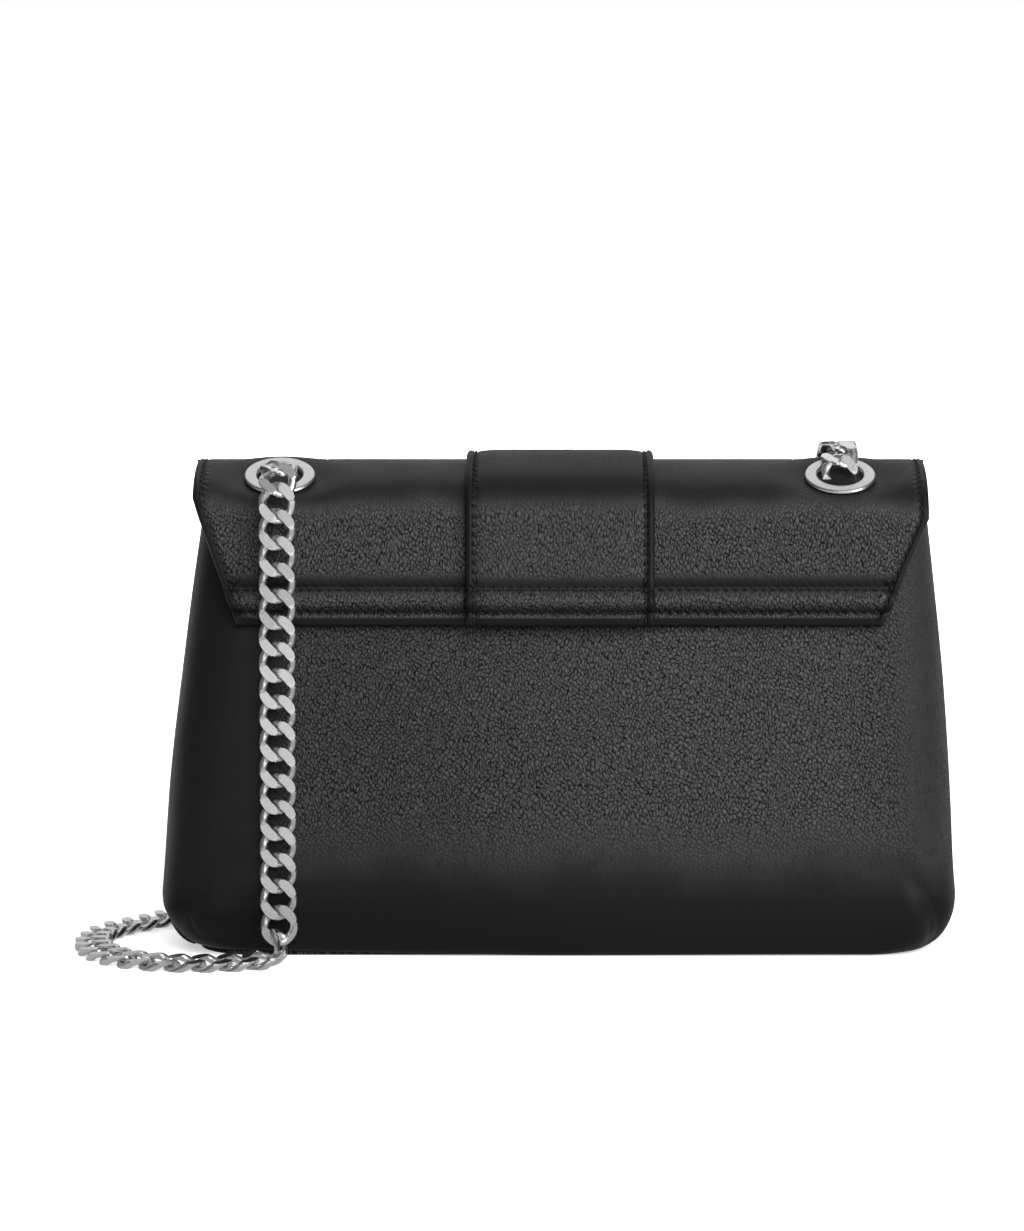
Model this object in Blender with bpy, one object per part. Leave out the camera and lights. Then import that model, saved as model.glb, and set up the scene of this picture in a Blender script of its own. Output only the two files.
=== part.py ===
"""Small flap bag of soft leather with a curb chain strap.

The back of the bag faces -Y and its closure faces +Y. It stands on the floor at z = 0, with the origin
under the middle of its sole. All sizes are in metres.
"""
import math

import bmesh
import bpy
from mathutils import Matrix, Vector

# Sole and body outline, measured on the outside of the leather
BASE_WIDTH = 0.2376
BASE_DEPTH = 0.0640
BODY_WIDTH = 0.2610
BODY_DEPTH = 0.0800
BODY_WIDEST_HEIGHT = 0.0200
MOUTH_WIDTH = 0.2390
MOUTH_DEPTH = 0.0570
MOUTH_HEIGHT = 0.1380
BODY_CORNER_RADIUS = 0.0180
BELLY = 0.0025
BELLY_TOP = 0.1060
LEAN_LINEAR_SHARE = 0.65
SOLE_TURN_START = math.radians(10.0)

# Heights of the upper edge of the body round the mouth
BACK_RIM_HEIGHT = 0.1380
FRONT_RIM_HEIGHT = 0.1280
SIDE_RIM_HEIGHT = 0.1500
GUSSET_FOLD_DEPTH = 0.0030

# Sheet thicknesses and the gap between sheets that lie on each other
WALL_THICKNESS = 0.0018
SKIN_THICKNESS = 0.0015
LINING_THICKNESS = 0.0007
BOARD_THICKNESS = 0.0007
SHEET_GAP = 0.0003
LINING_GAP = 0.0005
LINING_SLACK = 0.0009
YOKE_LINING_GAP = 0.0009
SEAM_GAP = 0.0004

# Sole
BASE_THICKNESS = 0.0018
BASE_BOARD_THICKNESS = 0.0016
SOLE_SEAM = 0.0019
BASE_BOARD_MARGIN = 0.0010
LINING_FLOOR_CLEARANCE = 0.0008

# Inside of the body
FACING_HEIGHT = 0.0200
FACING_THICKNESS = 0.0010
POCKET_WIDTH = 0.1200
POCKET_LOW = 0.0400
POCKET_HIGH = 0.0980
POCKET_EASE = 0.0016
POCKET_THICKNESS = 0.0008

# Dome over the mouth: the ridge that the yoke and the flap share
DOME_DEPTH = 0.0660
DOME_BASE_HEIGHT = 0.1425
DOME_RISE = 0.0175
YOKE_WIDTH = 0.2410
YOKE_HEM_HEIGHT = 0.1092
YOKE_HEM_WIDTH = 0.2100
YOKE_DIAGONAL_TOP = 0.1440
SHOULDER_HEM_HEIGHT = 0.1180
SHOULDER_STANDOFF = 0.0004

# Padded roll between the two rows of stitches on the yoke, as heights above its hem
ROLL_LOW = 0.0044
ROLL_HIGH = 0.0120
ROLL_RISE = 0.0018
ROLL_PADDING_THICKNESS = 0.0009
ROLL_PADDING_MARGIN = 0.0063

# Flap
FOLD_OFFSET = 0.0040
FLAP_WIDTH = 0.1610
FLAP_SIDE_GAP = 0.0005
FLAP_FOLD_GAP = 0.0009
FLAP_HEM_HEIGHT = 0.0580
FLAP_HEM_WIDTH = 0.1440
FLAP_DIAGONAL_TOP = 0.0900
FLAP_HEM_STANDOFF = 0.0085
FLAP_BOARD_TOP = 0.1260
FLAP_BOARD_MARGIN = 0.0080

# Centre band
BAND_WIDTH = 0.0615
BAND_THICKNESS = 0.0023
BAND_LIFT = 0.0004

# Eyelets
EYELET_SPACING = 0.1830
EYELET_BEHIND_RIDGE = 0.0175
EYELET_OUTER_RADIUS = 0.0117
EYELET_HOLE_RADIUS = 0.0078
EYELET_BARREL_RADIUS = 0.0087
EYELET_RIM_HEIGHT = 0.0013
EYELET_BEVEL = 0.0009
EYELET_BARREL_END = 0.0003
EYELET_HOLE_CLEARANCE = 0.0003
WASHER_RADIUS = 0.0110
WASHER_THICKNESS = 0.0008
EYELET_FLAT_REACH = 0.0122
EYELET_BLEND_REACH = 0.0190

# Magnetic snap
SNAP_HEIGHT = 0.0740
SOCKET_RADIUS = 0.0080
SOCKET_HEIGHT = 0.0018
SOCKET_DISH_RADIUS = 0.0036
SOCKET_DISH_DEPTH = 0.0011
STUD_RADIUS = 0.0065
STUD_HEIGHT = 0.0012
STUD_NUB_RADIUS = 0.0026
STUD_NUB_HEIGHT = 0.0009
SHANK_RADIUS = 0.0022
SHANK_CLEARANCE = 0.0003
SNAP_WASHER_RADIUS = 0.0062
SNAP_WASHER_THICKNESS = 0.0006

# Chain: a curb chain whose flat sides are ground
CHAIN_WIDTH = 0.0123
CHAIN_THICKNESS = 0.0046
CHAIN_PITCH = 0.0086
CHAIN_WIRE = 0.0031
CHAIN_BEVEL = 0.00115
CHAIN_LAP = 0.0006
LINK_TWIST = math.radians(50.0)
LINK_END_WIDTH = 0.0048
LINK_SIDE_LENGTH = 0.0040
BAND_RUN_STEP = 0.0070

# Route of the chain outside the bag: place of its middle, then the direction that its flat side faces
CHAIN_ROUTE = (
    ((-0.0915, -0.0166, 0.1526), (0.0, 1.0, 0.0)),
    ((-0.0915, -0.0182, 0.1580), (0.0, 0.8, 0.6)),
    ((-0.0915, -0.0232, 0.1607), (0.0, 0.2, 1.0)),
    ((-0.0915, -0.0296, 0.1602), (0.0, -0.4, 0.9)),
    ((-0.0915, -0.0352, 0.1550), (0.0, -0.8, 0.5)),
    ((-0.0915, -0.0377, 0.1465), (0.0, -1.0, 0.2)),
    ((-0.0915, -0.0384, 0.1360), (0.0, -1.0, 0.0)),
    ((-0.0915, -0.0390, 0.1240), (0.0, -1.0, 0.0)),
    ((-0.0915, -0.0400, 0.1120), (0.0, -1.0, 0.0)),
    ((-0.0915, -0.0407, 0.0980), (0.0, -1.0, 0.0)),
    ((-0.0915, -0.0416, 0.0780), (0.0, -1.0, 0.0)),
    ((-0.0915, -0.0427, 0.0580), (0.0, -1.0, 0.0)),
    ((-0.0915, -0.0440, 0.0380), (0.0, -1.0, 0.0)),
    ((-0.0915, -0.0448, 0.0220), (0.0, -1.0, 0.1)),
    ((-0.0913, -0.0456, 0.0130), (0.0, -1.0, 0.2)),
    ((-0.0925, -0.0480, 0.0065), (-0.1, -0.7, 0.7)),
    ((-0.0965, -0.0530, 0.0035), (0.0, -0.1, 1.0)),
    ((-0.1040, -0.0594, 0.0029), (0.0, 0.0, 1.0)),
    ((-0.1150, -0.0640, 0.0027), (0.0, 0.0, 1.0)),
    ((-0.1280, -0.0632, 0.0027), (0.0, 0.0, 1.0)),
    ((-0.1400, -0.0560, 0.0027), (0.0, 0.0, 1.0)),
    ((-0.1480, -0.0420, 0.0027), (0.0, 0.0, 1.0)),
    ((-0.1518, -0.0240, 0.0027), (0.0, 0.0, 1.0)),
    ((-0.1524, -0.0050, 0.0027), (0.0, 0.0, 1.0)),
    ((-0.1498, 0.0110, 0.0027), (0.0, 0.0, 1.0)),
    ((-0.1430, 0.0240, 0.0027), (0.0, 0.0, 1.0)),
    ((-0.1310, 0.0390, 0.0027), (0.0, 0.0, 1.0)),
    ((-0.1160, 0.0510, 0.0027), (0.0, 0.0, 1.0)),
    ((-0.0980, 0.0600, 0.0027), (0.0, 0.0, 1.0)),
    ((-0.0760, 0.0645, 0.0027), (0.0, 0.0, 1.0)),
    ((-0.0400, 0.0655, 0.0027), (0.0, 0.0, 1.0)),
    ((0.0100, 0.0655, 0.0027), (0.0, 0.0, 1.0)),
    ((0.0500, 0.0650, 0.0027), (0.0, 0.0, 1.0)),
    ((0.0720, 0.0624, 0.0029), (0.0, 0.0, 1.0)),
    ((0.0850, 0.0570, 0.0035), (0.0, 0.1, 1.0)),
    ((0.0905, 0.0510, 0.0065), (0.1, 0.7, 0.7)),
    ((0.0930, 0.0478, 0.0130), (0.0, 1.0, 0.2)),
    ((0.0935, 0.0462, 0.0220), (0.0, 1.0, 0.1)),
    ((0.0935, 0.0448, 0.0380), (0.0, 1.0, 0.0)),
    ((0.0935, 0.0432, 0.0580), (0.0, 1.0, 0.0)),
    ((0.0932, 0.0417, 0.0780), (0.0, 1.0, 0.0)),
    ((0.0928, 0.0406, 0.0980), (0.0, 1.0, 0.0)),
    ((0.0924, 0.0398, 0.1160), (0.0, 1.0, 0.0)),
    ((0.0920, 0.0388, 0.1300), (0.0, 1.0, 0.0)),
    ((0.0917, 0.0374, 0.1425), (0.0, 1.0, 0.2)),
    ((0.0915, 0.0335, 0.1520), (0.0, 0.8, 0.5)),
    ((0.0915, 0.0265, 0.1588), (0.0, 0.5, 0.9)),
    ((0.0915, 0.0170, 0.1626), (0.0, 0.3, 1.0)),
    ((0.0915, 0.0060, 0.1648), (0.0, 0.1, 1.0)),
    ((0.0915, -0.0030, 0.1655), (0.0, 0.0, 1.0)),
    ((0.0915, -0.0092, 0.1655), (0.0, -0.2, 1.0)),
    ((0.0915, -0.0142, 0.1638), (0.0, -0.6, 0.8)),
    ((0.0915, -0.0170, 0.1602), (0.0, -0.9, 0.4)),
    ((0.0915, -0.0174, 0.1562), (0.0, -1.0, 0.0)),
    ((0.0915, -0.0168, 0.1526), (0.0, -1.0, -0.1)),
)

# Route of the chain inside the bag, from the left eyelet to the right one
INNER_ROUTE = (
    ((-0.0915, -0.0162, 0.1488), (0.0, 1.0, 0.0)),
    ((-0.0915, -0.0163, 0.1455), (0.0, 1.0, 0.0)),
    ((-0.0908, -0.0168, 0.1405), (0.0, 1.0, 0.0)),
    ((-0.0880, -0.0178, 0.1360), (0.0, 1.0, 0.0)),
    ((-0.0800, -0.0192, 0.1312), (0.0, 1.0, 0.0)),
    ((-0.0640, -0.0204, 0.1266), (0.0, 1.0, 0.0)),
    ((-0.0320, -0.0212, 0.1228), (0.0, 1.0, 0.0)),
    ((0.0000, -0.0213, 0.1218), (0.0, 1.0, 0.0)),
    ((0.0320, -0.0212, 0.1228), (0.0, 1.0, 0.0)),
    ((0.0640, -0.0204, 0.1266), (0.0, 1.0, 0.0)),
    ((0.0800, -0.0192, 0.1312), (0.0, 1.0, 0.0)),
    ((0.0880, -0.0178, 0.1360), (0.0, 1.0, 0.0)),
    ((0.0908, -0.0168, 0.1405), (0.0, 1.0, 0.0)),
    ((0.0915, -0.0163, 0.1455), (0.0, 1.0, 0.0)),
    ((0.0915, -0.0162, 0.1495), (0.0, 1.0, 0.0)),
)

# Runs of the chain outside the bag: name, point of CHAIN_ROUTE that ends it, whether its links are shaped
# and the gap before it
CHAIN_RUNS = (
    ("chain_drop", 15, True, 0.0),
    ("chain_floor_loop", 28, True, 0.0014),
    ("chain_front_run", 44, False, 0.0003),
    ("chain_arch", 54, True, 0.0010),
)

# Fineness
SMOOTH_ANGLE = math.radians(40.0)
NORMAL_STEP = 0.00002
SEARCH_STEPS = 30
TURN_SIDES = 28
HOLE_SIDES = 28
ROUTE_SAMPLES = 24
CUT_OVERRUN = 0.0060
PLATE_CORNER_STEPS = 4

# Parameter of the walls: 0 to 1 rear left corner, 1 to 2 back, 2 to 3 rear right corner, 3 to 4 right
# gusset, 4 to 5 front right corner, 5 to 6 front, 6 to 7 front left corner, 7 to 8 left gusset
ALL_ROUND_SHARE = 8.0
HALF_ROUND_SHARE = 4.0
BACK_MIDDLE_SHARE = 1.5
FRONT_MIDDLE_SHARE = 5.5
CORNER_SHARES = (0.0, 0.25, 0.5, 0.75)
FLAT_SHARES = (0.0, 0.17, 0.34, 0.5, 0.66, 0.83)
GUSSET_SEAM_SHARE = 0.08
GUSSET_FOLD_SHARE = 0.20
GUSSET_SHARES = (0.0, 0.08, 0.20, 0.35, 0.5, 0.65, 0.80, 0.92)
SOLE_TURN_SHARES = (0.0, 0.25, 0.5, 0.75)
RISE_SHARES = (0.0, 0.33, 0.67, 1.0)

# Pocket: share of its height or width, then the share of its ease there
POCKET_RISE_SHARES = ((0.0, 0.0), (0.06, 1.0), (0.5, 1.0), (1.0, 1.0))
POCKET_WIDTH_SHARES = ((-1.0, 0.0), (-0.96, 1.0), (-0.3, 1.0), (0.3, 1.0), (0.96, 1.0), (1.0, 0.0))

# Rows of the yoke and the flap, and where the run down the front starts and ends
FRONT_TOP_SHARE = 2.0
FRONT_HEM_SHARE = 3.0
ROLL_SHARES = (0.3, 0.7)
SHOULDER_ARC_SHARES = (0.2, 0.4, 0.6, 0.8, 1.0)
SHOULDER_FALL_SHARES = (0.5, 1.0)
FLAP_ARC_SHARES = (0.0, 0.2, 0.4, 0.6, 0.8, 1.0)
FLAP_FALL_SHARES = (0.25, 0.5, 0.75, 1.0)
BOARD_SHARES = (0.0, 0.33, 0.67, 1.0)

# Finishes: colour, roughness, metallic
BLACK_LEATHER = ((0.024, 0.024, 0.025), 0.45, 0.0)
SUEDE = ((0.050, 0.046, 0.044), 0.90, 0.0)
BOARD = ((0.200, 0.170, 0.130), 0.85, 0.0)
STEEL = ((0.720, 0.720, 0.730), 0.22, 1.0)


def clear_scene():
    """Remove every object that the scene starts with."""
    for old in list(bpy.data.objects):
        bpy.data.objects.remove(old, do_unlink=True)


def finish_material(name, finish):
    """Make the Principled material of one sub-part."""
    colour, roughness, metallic = finish
    material = bpy.data.materials.new(name)
    material.use_nodes = True
    shader = material.node_tree.nodes["Principled BSDF"]
    shader.inputs["Base Color"].default_value = (*colour, 1.0)
    shader.inputs["Roughness"].default_value = roughness
    shader.inputs["Metallic"].default_value = metallic
    material.diffuse_color = (*colour, 1.0)
    return material


def add_object(name, bm, finish):
    """Turn a bmesh into a named object with its own material."""
    mesh = bpy.data.meshes.new(name)
    bm.to_mesh(mesh)
    bm.free()
    mesh.shade_smooth()
    mesh.set_sharp_from_angle(angle=SMOOTH_ANGLE)
    mesh.materials.append(finish_material(name, finish))
    part = bpy.data.objects.new(name, mesh)
    bpy.context.scene.collection.objects.link(part)
    return part


def add_cutter(name, bm):
    """Make a hidden guide solid for a Boolean."""
    mesh = bpy.data.meshes.new(name)
    bm.to_mesh(mesh)
    bm.free()
    guide = bpy.data.objects.new(name, mesh)
    bpy.context.scene.collection.objects.link(guide)
    guide.hide_render = True
    guide.display_type = "WIRE"
    return guide


def add_boolean(part, guide, operation):
    """Cut a guide from a part, or join it to the part."""
    modifier = part.modifiers.new(guide.name, "BOOLEAN")
    modifier.operation = operation
    modifier.object = guide
    modifier.solver = "EXACT"


def add_wall(part, thickness):
    """Give a sheet its thickness, inwards from its outer face."""
    modifier = part.modifiers.new("Thickness", "SOLIDIFY")
    modifier.thickness = thickness
    modifier.offset = -1.0
    modifier.use_even_offset = True


def mix(low, high, share):
    """Blend two values."""
    return low + (high - low) * share


def ease(share):
    """Ease a share between 0 and 1."""
    bounded = min(max(share, 0.0), 1.0)
    return bounded * bounded * (3.0 - 2.0 * bounded)


def body_half_sizes(height):
    """Half width and half depth of the body at a height."""
    if height < BODY_WIDEST_HEIGHT:
        cosine = 1.0 - height / BODY_WIDEST_HEIGHT
        swell = math.sqrt(max(1.0 - cosine * cosine, 0.0))
        start = math.sin(SOLE_TURN_START)
        share = (swell - start) / (1.0 - start)
        return (mix(BASE_WIDTH / 2 + SOLE_SEAM, BODY_WIDTH / 2, share),
                mix(BASE_DEPTH / 2 + SOLE_SEAM, BODY_DEPTH / 2, share))
    climb = (height - BODY_WIDEST_HEIGHT) / (MOUTH_HEIGHT - BODY_WIDEST_HEIGHT)
    lean = LEAN_LINEAR_SHARE * climb + (1.0 - LEAN_LINEAR_SHARE) * climb * climb
    return mix(BODY_WIDTH, MOUTH_WIDTH, lean) / 2, mix(BODY_DEPTH, MOUTH_DEPTH, lean) / 2


def belly_at(share, height):
    """How far the back or the front bulges at a share of its width and a height."""
    if height > BELLY_TOP:
        return 0.0
    across = 4.0 * share * (1.0 - share)
    return BELLY * across * math.sin(math.pi * height / BELLY_TOP)


def gusset_fold(height):
    """Depth of the fold in a gusset at a height."""
    return GUSSET_FOLD_DEPTH * ease(height / SIDE_RIM_HEIGHT)


def wall_surface(place, height):
    """Point of the body's outer face at a place round it and a height."""
    half_width, half_depth = body_half_sizes(height)
    round_place = place % ALL_ROUND_SHARE
    front = round_place > HALF_ROUND_SHARE
    local = round_place - HALF_ROUND_SHARE if front else round_place
    radius = BODY_CORNER_RADIUS
    if local <= 1.0:
        angle = math.pi / 2 * local
        x = -(half_width - radius) - radius * math.cos(angle)
        y = -(half_depth - radius) - radius * math.sin(angle)
    elif local <= 2.0:
        share = local - 1.0
        x = mix(-1.0, 1.0, share) * (half_width - radius)
        y = -half_depth - belly_at(share, height)
    elif local <= 3.0:
        angle = math.pi / 2 * (3.0 - local)
        x = (half_width - radius) + radius * math.cos(angle)
        y = -(half_depth - radius) - radius * math.sin(angle)
    else:
        share = local - 3.0
        folded = min(max((share - GUSSET_FOLD_SHARE) / (1.0 - 2.0 * GUSSET_FOLD_SHARE), 0.0), 1.0)
        x = half_width - gusset_fold(height) * math.sin(math.pi * folded) ** 2
        y = mix(-1.0, 1.0, share) * (half_depth - radius)
    turn = -1.0 if front else 1.0
    return Vector((turn * x, turn * y, height))


def wall_point(place, height, inset):
    """Point of the body's face, moved inwards along its normal."""
    point = wall_surface(place, height)
    if inset == 0.0:
        return point
    step = NORMAL_STEP
    across = wall_surface(place + step, height) - wall_surface(place - step, height)
    along = wall_surface(place, height + step) - wall_surface(place, height - step)
    normal = across.cross(along).normalized()
    return point - normal * inset


def rim_height(place):
    """Height of the body's upper edge at a place round it."""
    rims = (SIDE_RIM_HEIGHT, BACK_RIM_HEIGHT, BACK_RIM_HEIGHT, SIDE_RIM_HEIGHT, SIDE_RIM_HEIGHT,
            FRONT_RIM_HEIGHT, FRONT_RIM_HEIGHT, SIDE_RIM_HEIGHT, SIDE_RIM_HEIGHT)
    bounded = place % ALL_ROUND_SHARE
    index = int(bounded)
    return mix(rims[index], rims[index + 1], ease(bounded - index))


def sole_turn_height(share):
    """Height on the turned lower edge of the body at a share of that turn."""
    angle = mix(SOLE_TURN_START, math.pi / 2, share)
    return BODY_WIDEST_HEIGHT * (1.0 - math.cos(angle))


def facing_low(place):
    """Height of the lower edge of the leather facing at a place round the mouth."""
    return rim_height(place) - FACING_HEIGHT


def wall_heights(place, turn_shares):
    """Heights of the rows of a wall at a place round it, up to the lower edge of the facing."""
    heights = [sole_turn_height(share) for share in turn_shares]
    return heights + [mix(BODY_WIDEST_HEIGHT, facing_low(place), share) for share in RISE_SHARES]


def grid_sheet(rows, closed=False):
    """Make one sheet of faces through rows of points."""
    bm = bmesh.new()
    lines = [[bm.verts.new(point) for point in row] for row in rows]
    for lower, upper in zip(lines, lines[1:]):
        count = len(lower)
        last = count if closed else count - 1
        for index in range(last):
            after = (index + 1) % count
            bm.faces.new((lower[index], lower[after], upper[after], upper[index]))
    return bm, lines


def places_between(start, end):
    """Places round the body from one whole number to another."""
    places = []
    for whole in range(start, end):
        kind = whole % 4
        shares = {0: CORNER_SHARES, 1: FLAT_SHARES, 2: CORNER_SHARES, 3: GUSSET_SHARES}[kind]
        places.extend(whole + share for share in shares)
    places.append(float(end))
    return places


def build_wall_panel(name, places):
    """Make one leather panel of the body through columns at places round it."""
    columns = []
    for place in places:
        heights = wall_heights(place, SOLE_TURN_SHARES) + [rim_height(place)]
        columns.append([wall_point(place, height, 0.0) for height in heights])
    bm, _ = grid_sheet([list(row) for row in zip(*columns)])
    panel = add_object(name, bm, BLACK_LEATHER)
    add_wall(panel, WALL_THICKNESS)
    return panel


def build_body():
    """Make the back, the front and both gussets, which meet in seams at the sides."""
    seam = GUSSET_SEAM_SHARE
    _, half_depth = body_half_sizes(MOUTH_HEIGHT)
    gap = SEAM_GAP / (2.0 * (half_depth - BODY_CORNER_RADIUS))
    build_wall_panel("back_panel", [-seam] + places_between(0, 3) + [3.0 + seam])
    front = build_wall_panel("front_panel", [4.0 - seam] + places_between(4, 7) + [7.0 + seam])
    for name, start in (("gusset_right", 3), ("gusset_left", 7)):
        middle = places_between(start, start + 1)[2:-2]
        build_wall_panel(name, [start + seam + gap] + middle + [start + 1.0 - seam - gap])
    return front


def rounded_plate(width, depth, radius, low, thickness):
    """Make a flat plate with rounded corners."""
    bm = bmesh.new()
    outline = []
    for index in range(4):
        sign_x = 1.0 if index in (0, 3) else -1.0
        sign_y = 1.0 if index in (0, 1) else -1.0
        for step in range(PLATE_CORNER_STEPS + 1):
            angle = math.pi / 2 * (index + step / PLATE_CORNER_STEPS)
            outline.append(bm.verts.new((
                sign_x * (width / 2 - radius) + radius * math.cos(angle),
                sign_y * (depth / 2 - radius) + radius * math.sin(angle),
                low)))
    face = bm.faces.new(outline)
    grown = bmesh.ops.extrude_face_region(bm, geom=[face])
    moved = [item for item in grown["geom"] if isinstance(item, bmesh.types.BMVert)]
    bmesh.ops.translate(bm, verts=moved, vec=(0, 0, thickness))
    bmesh.ops.recalc_face_normals(bm, faces=bm.faces[:])
    return bm


def build_sole():
    """Make the sole and the board on it."""
    sole = rounded_plate(BASE_WIDTH, BASE_DEPTH, BODY_CORNER_RADIUS, 0, BASE_THICKNESS)
    add_object("base_panel", sole, BLACK_LEATHER)
    board_low = BASE_THICKNESS + SHEET_GAP
    board = rounded_plate(BASE_WIDTH - BASE_BOARD_MARGIN, BASE_DEPTH - BASE_BOARD_MARGIN,
                          BODY_CORNER_RADIUS, board_low, BASE_BOARD_THICKNESS)
    add_object("base_board", board, BOARD)


def lining_inset():
    """How far inside the body's outer face the lining starts."""
    return WALL_THICKNESS + LINING_GAP


def build_lining():
    """Make the lining sack and the leather facing round the mouth."""
    places = places_between(0, 8)[:-1]
    floor_height = BASE_THICKNESS + SHEET_GAP + BASE_BOARD_THICKNESS + LINING_FLOOR_CLEARANCE
    columns = []
    for place in places:
        heights = wall_heights(place, SOLE_TURN_SHARES[1:])
        heights[-1] -= LINING_SLACK
        column = [wall_point(place, height, lining_inset()) for height in heights]
        column[0].z = floor_height
        columns.append(column)
    bm, lines = grid_sheet([list(row) for row in zip(*columns)], closed=True)
    bm.faces.new(list(reversed(lines[0])))
    sack = add_object("lining_sack", bm, SUEDE)
    add_wall(sack, LINING_THICKNESS)

    columns = []
    for place in places:
        heights = (facing_low(place), rim_height(place))
        columns.append([wall_point(place, height, lining_inset()) for height in heights])
    bm, _ = grid_sheet([list(row) for row in zip(*columns)], closed=True)
    facing = add_object("mouth_facing", bm, BLACK_LEATHER)
    add_wall(facing, FACING_THICKNESS)
    return sack


def build_pocket():
    """Make the slip pocket, a sheet on the back lining that is open at its top."""
    inset = lining_inset() + LINING_THICKNESS + LINING_SLACK + POCKET_THICKNESS
    flat_width = 2.0 * (body_half_sizes(POCKET_LOW)[0] - BODY_CORNER_RADIUS)
    half_share = POCKET_WIDTH / flat_width / 2
    rows = []
    for height_share, lift in POCKET_RISE_SHARES:
        height = mix(POCKET_LOW, POCKET_HIGH, height_share)
        row = []
        for width_share, bulge in POCKET_WIDTH_SHARES:
            place = BACK_MIDDLE_SHARE + half_share * width_share
            row.append(wall_point(place, height, inset + POCKET_EASE * min(lift, bulge)))
        rows.append(row)
    bm, _ = grid_sheet(rows)
    for face in bm.faces:
        face.normal_flip()
    pocket = add_object("slip_pocket", bm, SUEDE)
    add_wall(pocket, POCKET_THICKNESS)


def front_hem_point(kind):
    """Depth and height of the front hem of the flap or of the shoulders."""
    if kind == "flap":
        stack = SKIN_THICKNESS + SHEET_GAP + BOARD_THICKNESS + SHEET_GAP + LINING_THICKNESS + SHEET_GAP
        return body_half_sizes(FLAP_HEM_HEIGHT)[1] + stack + FLAP_HEM_STANDOFF, FLAP_HEM_HEIGHT
    stack = SHEET_GAP + YOKE_LINING_GAP + SKIN_THICKNESS + LINING_THICKNESS + SHOULDER_STANDOFF
    return body_half_sizes(SHOULDER_HEM_HEIGHT)[1] + stack, SHOULDER_HEM_HEIGHT


def rear_hem_depth():
    """Half depth of the yoke's outer face at its rear hem."""
    stack = SHEET_GAP + YOKE_LINING_GAP + SKIN_THICKNESS + LINING_THICKNESS + SHEET_GAP
    return body_half_sizes(YOKE_HEM_HEIGHT)[1] + stack


def roll_swell(height):
    """How far the padded roll stands out of the yoke at a height."""
    low = YOKE_HEM_HEIGHT + ROLL_LOW
    high = YOKE_HEM_HEIGHT + ROLL_HIGH
    if height <= low or height >= high:
        return 0.0
    return ROLL_RISE * math.sin(math.pi * (height - low) / (high - low))


def dome_profile(run, kind, rolled=True):
    """Outer face over the mouth: 0 to 1 up the back, 1 to 2 over the ridge, 2 to 3 down the front."""
    half = DOME_DEPTH / 2
    if run <= 1.0:
        height = mix(YOKE_HEM_HEIGHT, DOME_BASE_HEIGHT, run)
        depth = mix(rear_hem_depth(), half, run)
        if rolled:
            depth += roll_swell(height)
        return Vector((0, -depth, height))
    if run <= 2.0:
        angle = math.pi * (run - 1.0)
        return Vector((0, -half * math.cos(angle), DOME_BASE_HEIGHT + DOME_RISE * math.sin(angle)))
    depth, height = front_hem_point(kind)
    return Vector((0, mix(half, depth, run - 2.0), mix(DOME_BASE_HEIGHT, height, run - 2.0)))


def dome_normal(run, kind, rolled=True):
    """Outward normal of the dome's face."""
    step = NORMAL_STEP
    along = dome_profile(run + step, kind, rolled) - dome_profile(run - step, kind, rolled)
    return Vector((1, 0, 0)).cross(along).normalized()


def run_at_depth(depth):
    """Run over the ridge at a distance from its middle, positive towards the front."""
    return 1.0 + math.acos(-depth / (DOME_DEPTH / 2)) / math.pi


def eyelet_frame(side):
    """Place and directions of an eyelet: X across, Y down the back, Z out of the leather."""
    run = run_at_depth(-EYELET_BEHIND_RIDGE)
    centre = dome_profile(run, "flap") + Vector((side * EYELET_SPACING / 2, 0, 0))
    normal = dome_normal(run, "flap")
    across = Vector((1, 0, 0))
    frame = Matrix((across, normal.cross(across), normal)).transposed().to_4x4()
    frame.translation = centre
    return frame


def run_near_eyelet(reach):
    """Run over the ridge where the dome lies a reach in front of the middle of the eyelets."""
    frame = eyelet_frame(1.0).inverted()
    low = 1.0
    high = 2.0
    for _ in range(SEARCH_STEPS):
        middle = (low + high) / 2
        if (frame @ dome_profile(middle, "flap")).y < reach:
            low = middle
        else:
            high = middle
    return middle


def dome_point(x, run, lift, kind, rolled=True):
    """Point on the dome, raised by lift, with the leather drawn flat under each eyelet."""
    normal = dome_normal(run, kind, rolled)
    point = dome_profile(run, kind, rolled) + Vector((x, 0, 0))
    for side in (-1.0, 1.0):
        frame = eyelet_frame(side)
        local = frame.inverted() @ point
        reach = max(abs(local.x), abs(local.y))
        hold = 1.0 - ease((reach - EYELET_FLAT_REACH) / (EYELET_BLEND_REACH - EYELET_FLAT_REACH))
        if run < 1.0 or hold <= 0.0:
            continue
        plane_normal = frame.to_3x3() @ Vector((0, 0, 1))
        point = point - plane_normal * local.z * hold
        normal = normal.lerp(plane_normal, hold).normalized()
    return point + normal * lift


def diagonal_cut(bm, side, low_half, high_half, low, high):
    """Cut a lower corner of a sheet off along a line in the front view."""
    along = Vector((high_half - low_half, 0, high - low))
    outward = Vector((along.z, 0, -along.x))
    outward.x *= side
    geometry = bm.verts[:] + bm.edges[:] + bm.faces[:]
    bmesh.ops.bisect_plane(bm, geom=geometry, plane_co=(side * low_half, 0, low),
                           plane_no=outward.normalized(), clear_outer=True)


def yoke_columns():
    """Places across the yoke, with lines at the flap's edges and at the flat round each eyelet."""
    half = YOKE_WIDTH / 2
    slot = FLAP_WIDTH / 2 + FLAP_SIDE_GAP
    eyelet = EYELET_SPACING / 2
    band = BAND_WIDTH / 2
    right = sorted((0.0, band, (band + slot) / 2, eyelet - EYELET_FLAT_REACH, slot, eyelet,
                    eyelet + EYELET_FLAT_REACH, half))
    return [-x for x in reversed(right[1:])] + right


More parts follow.
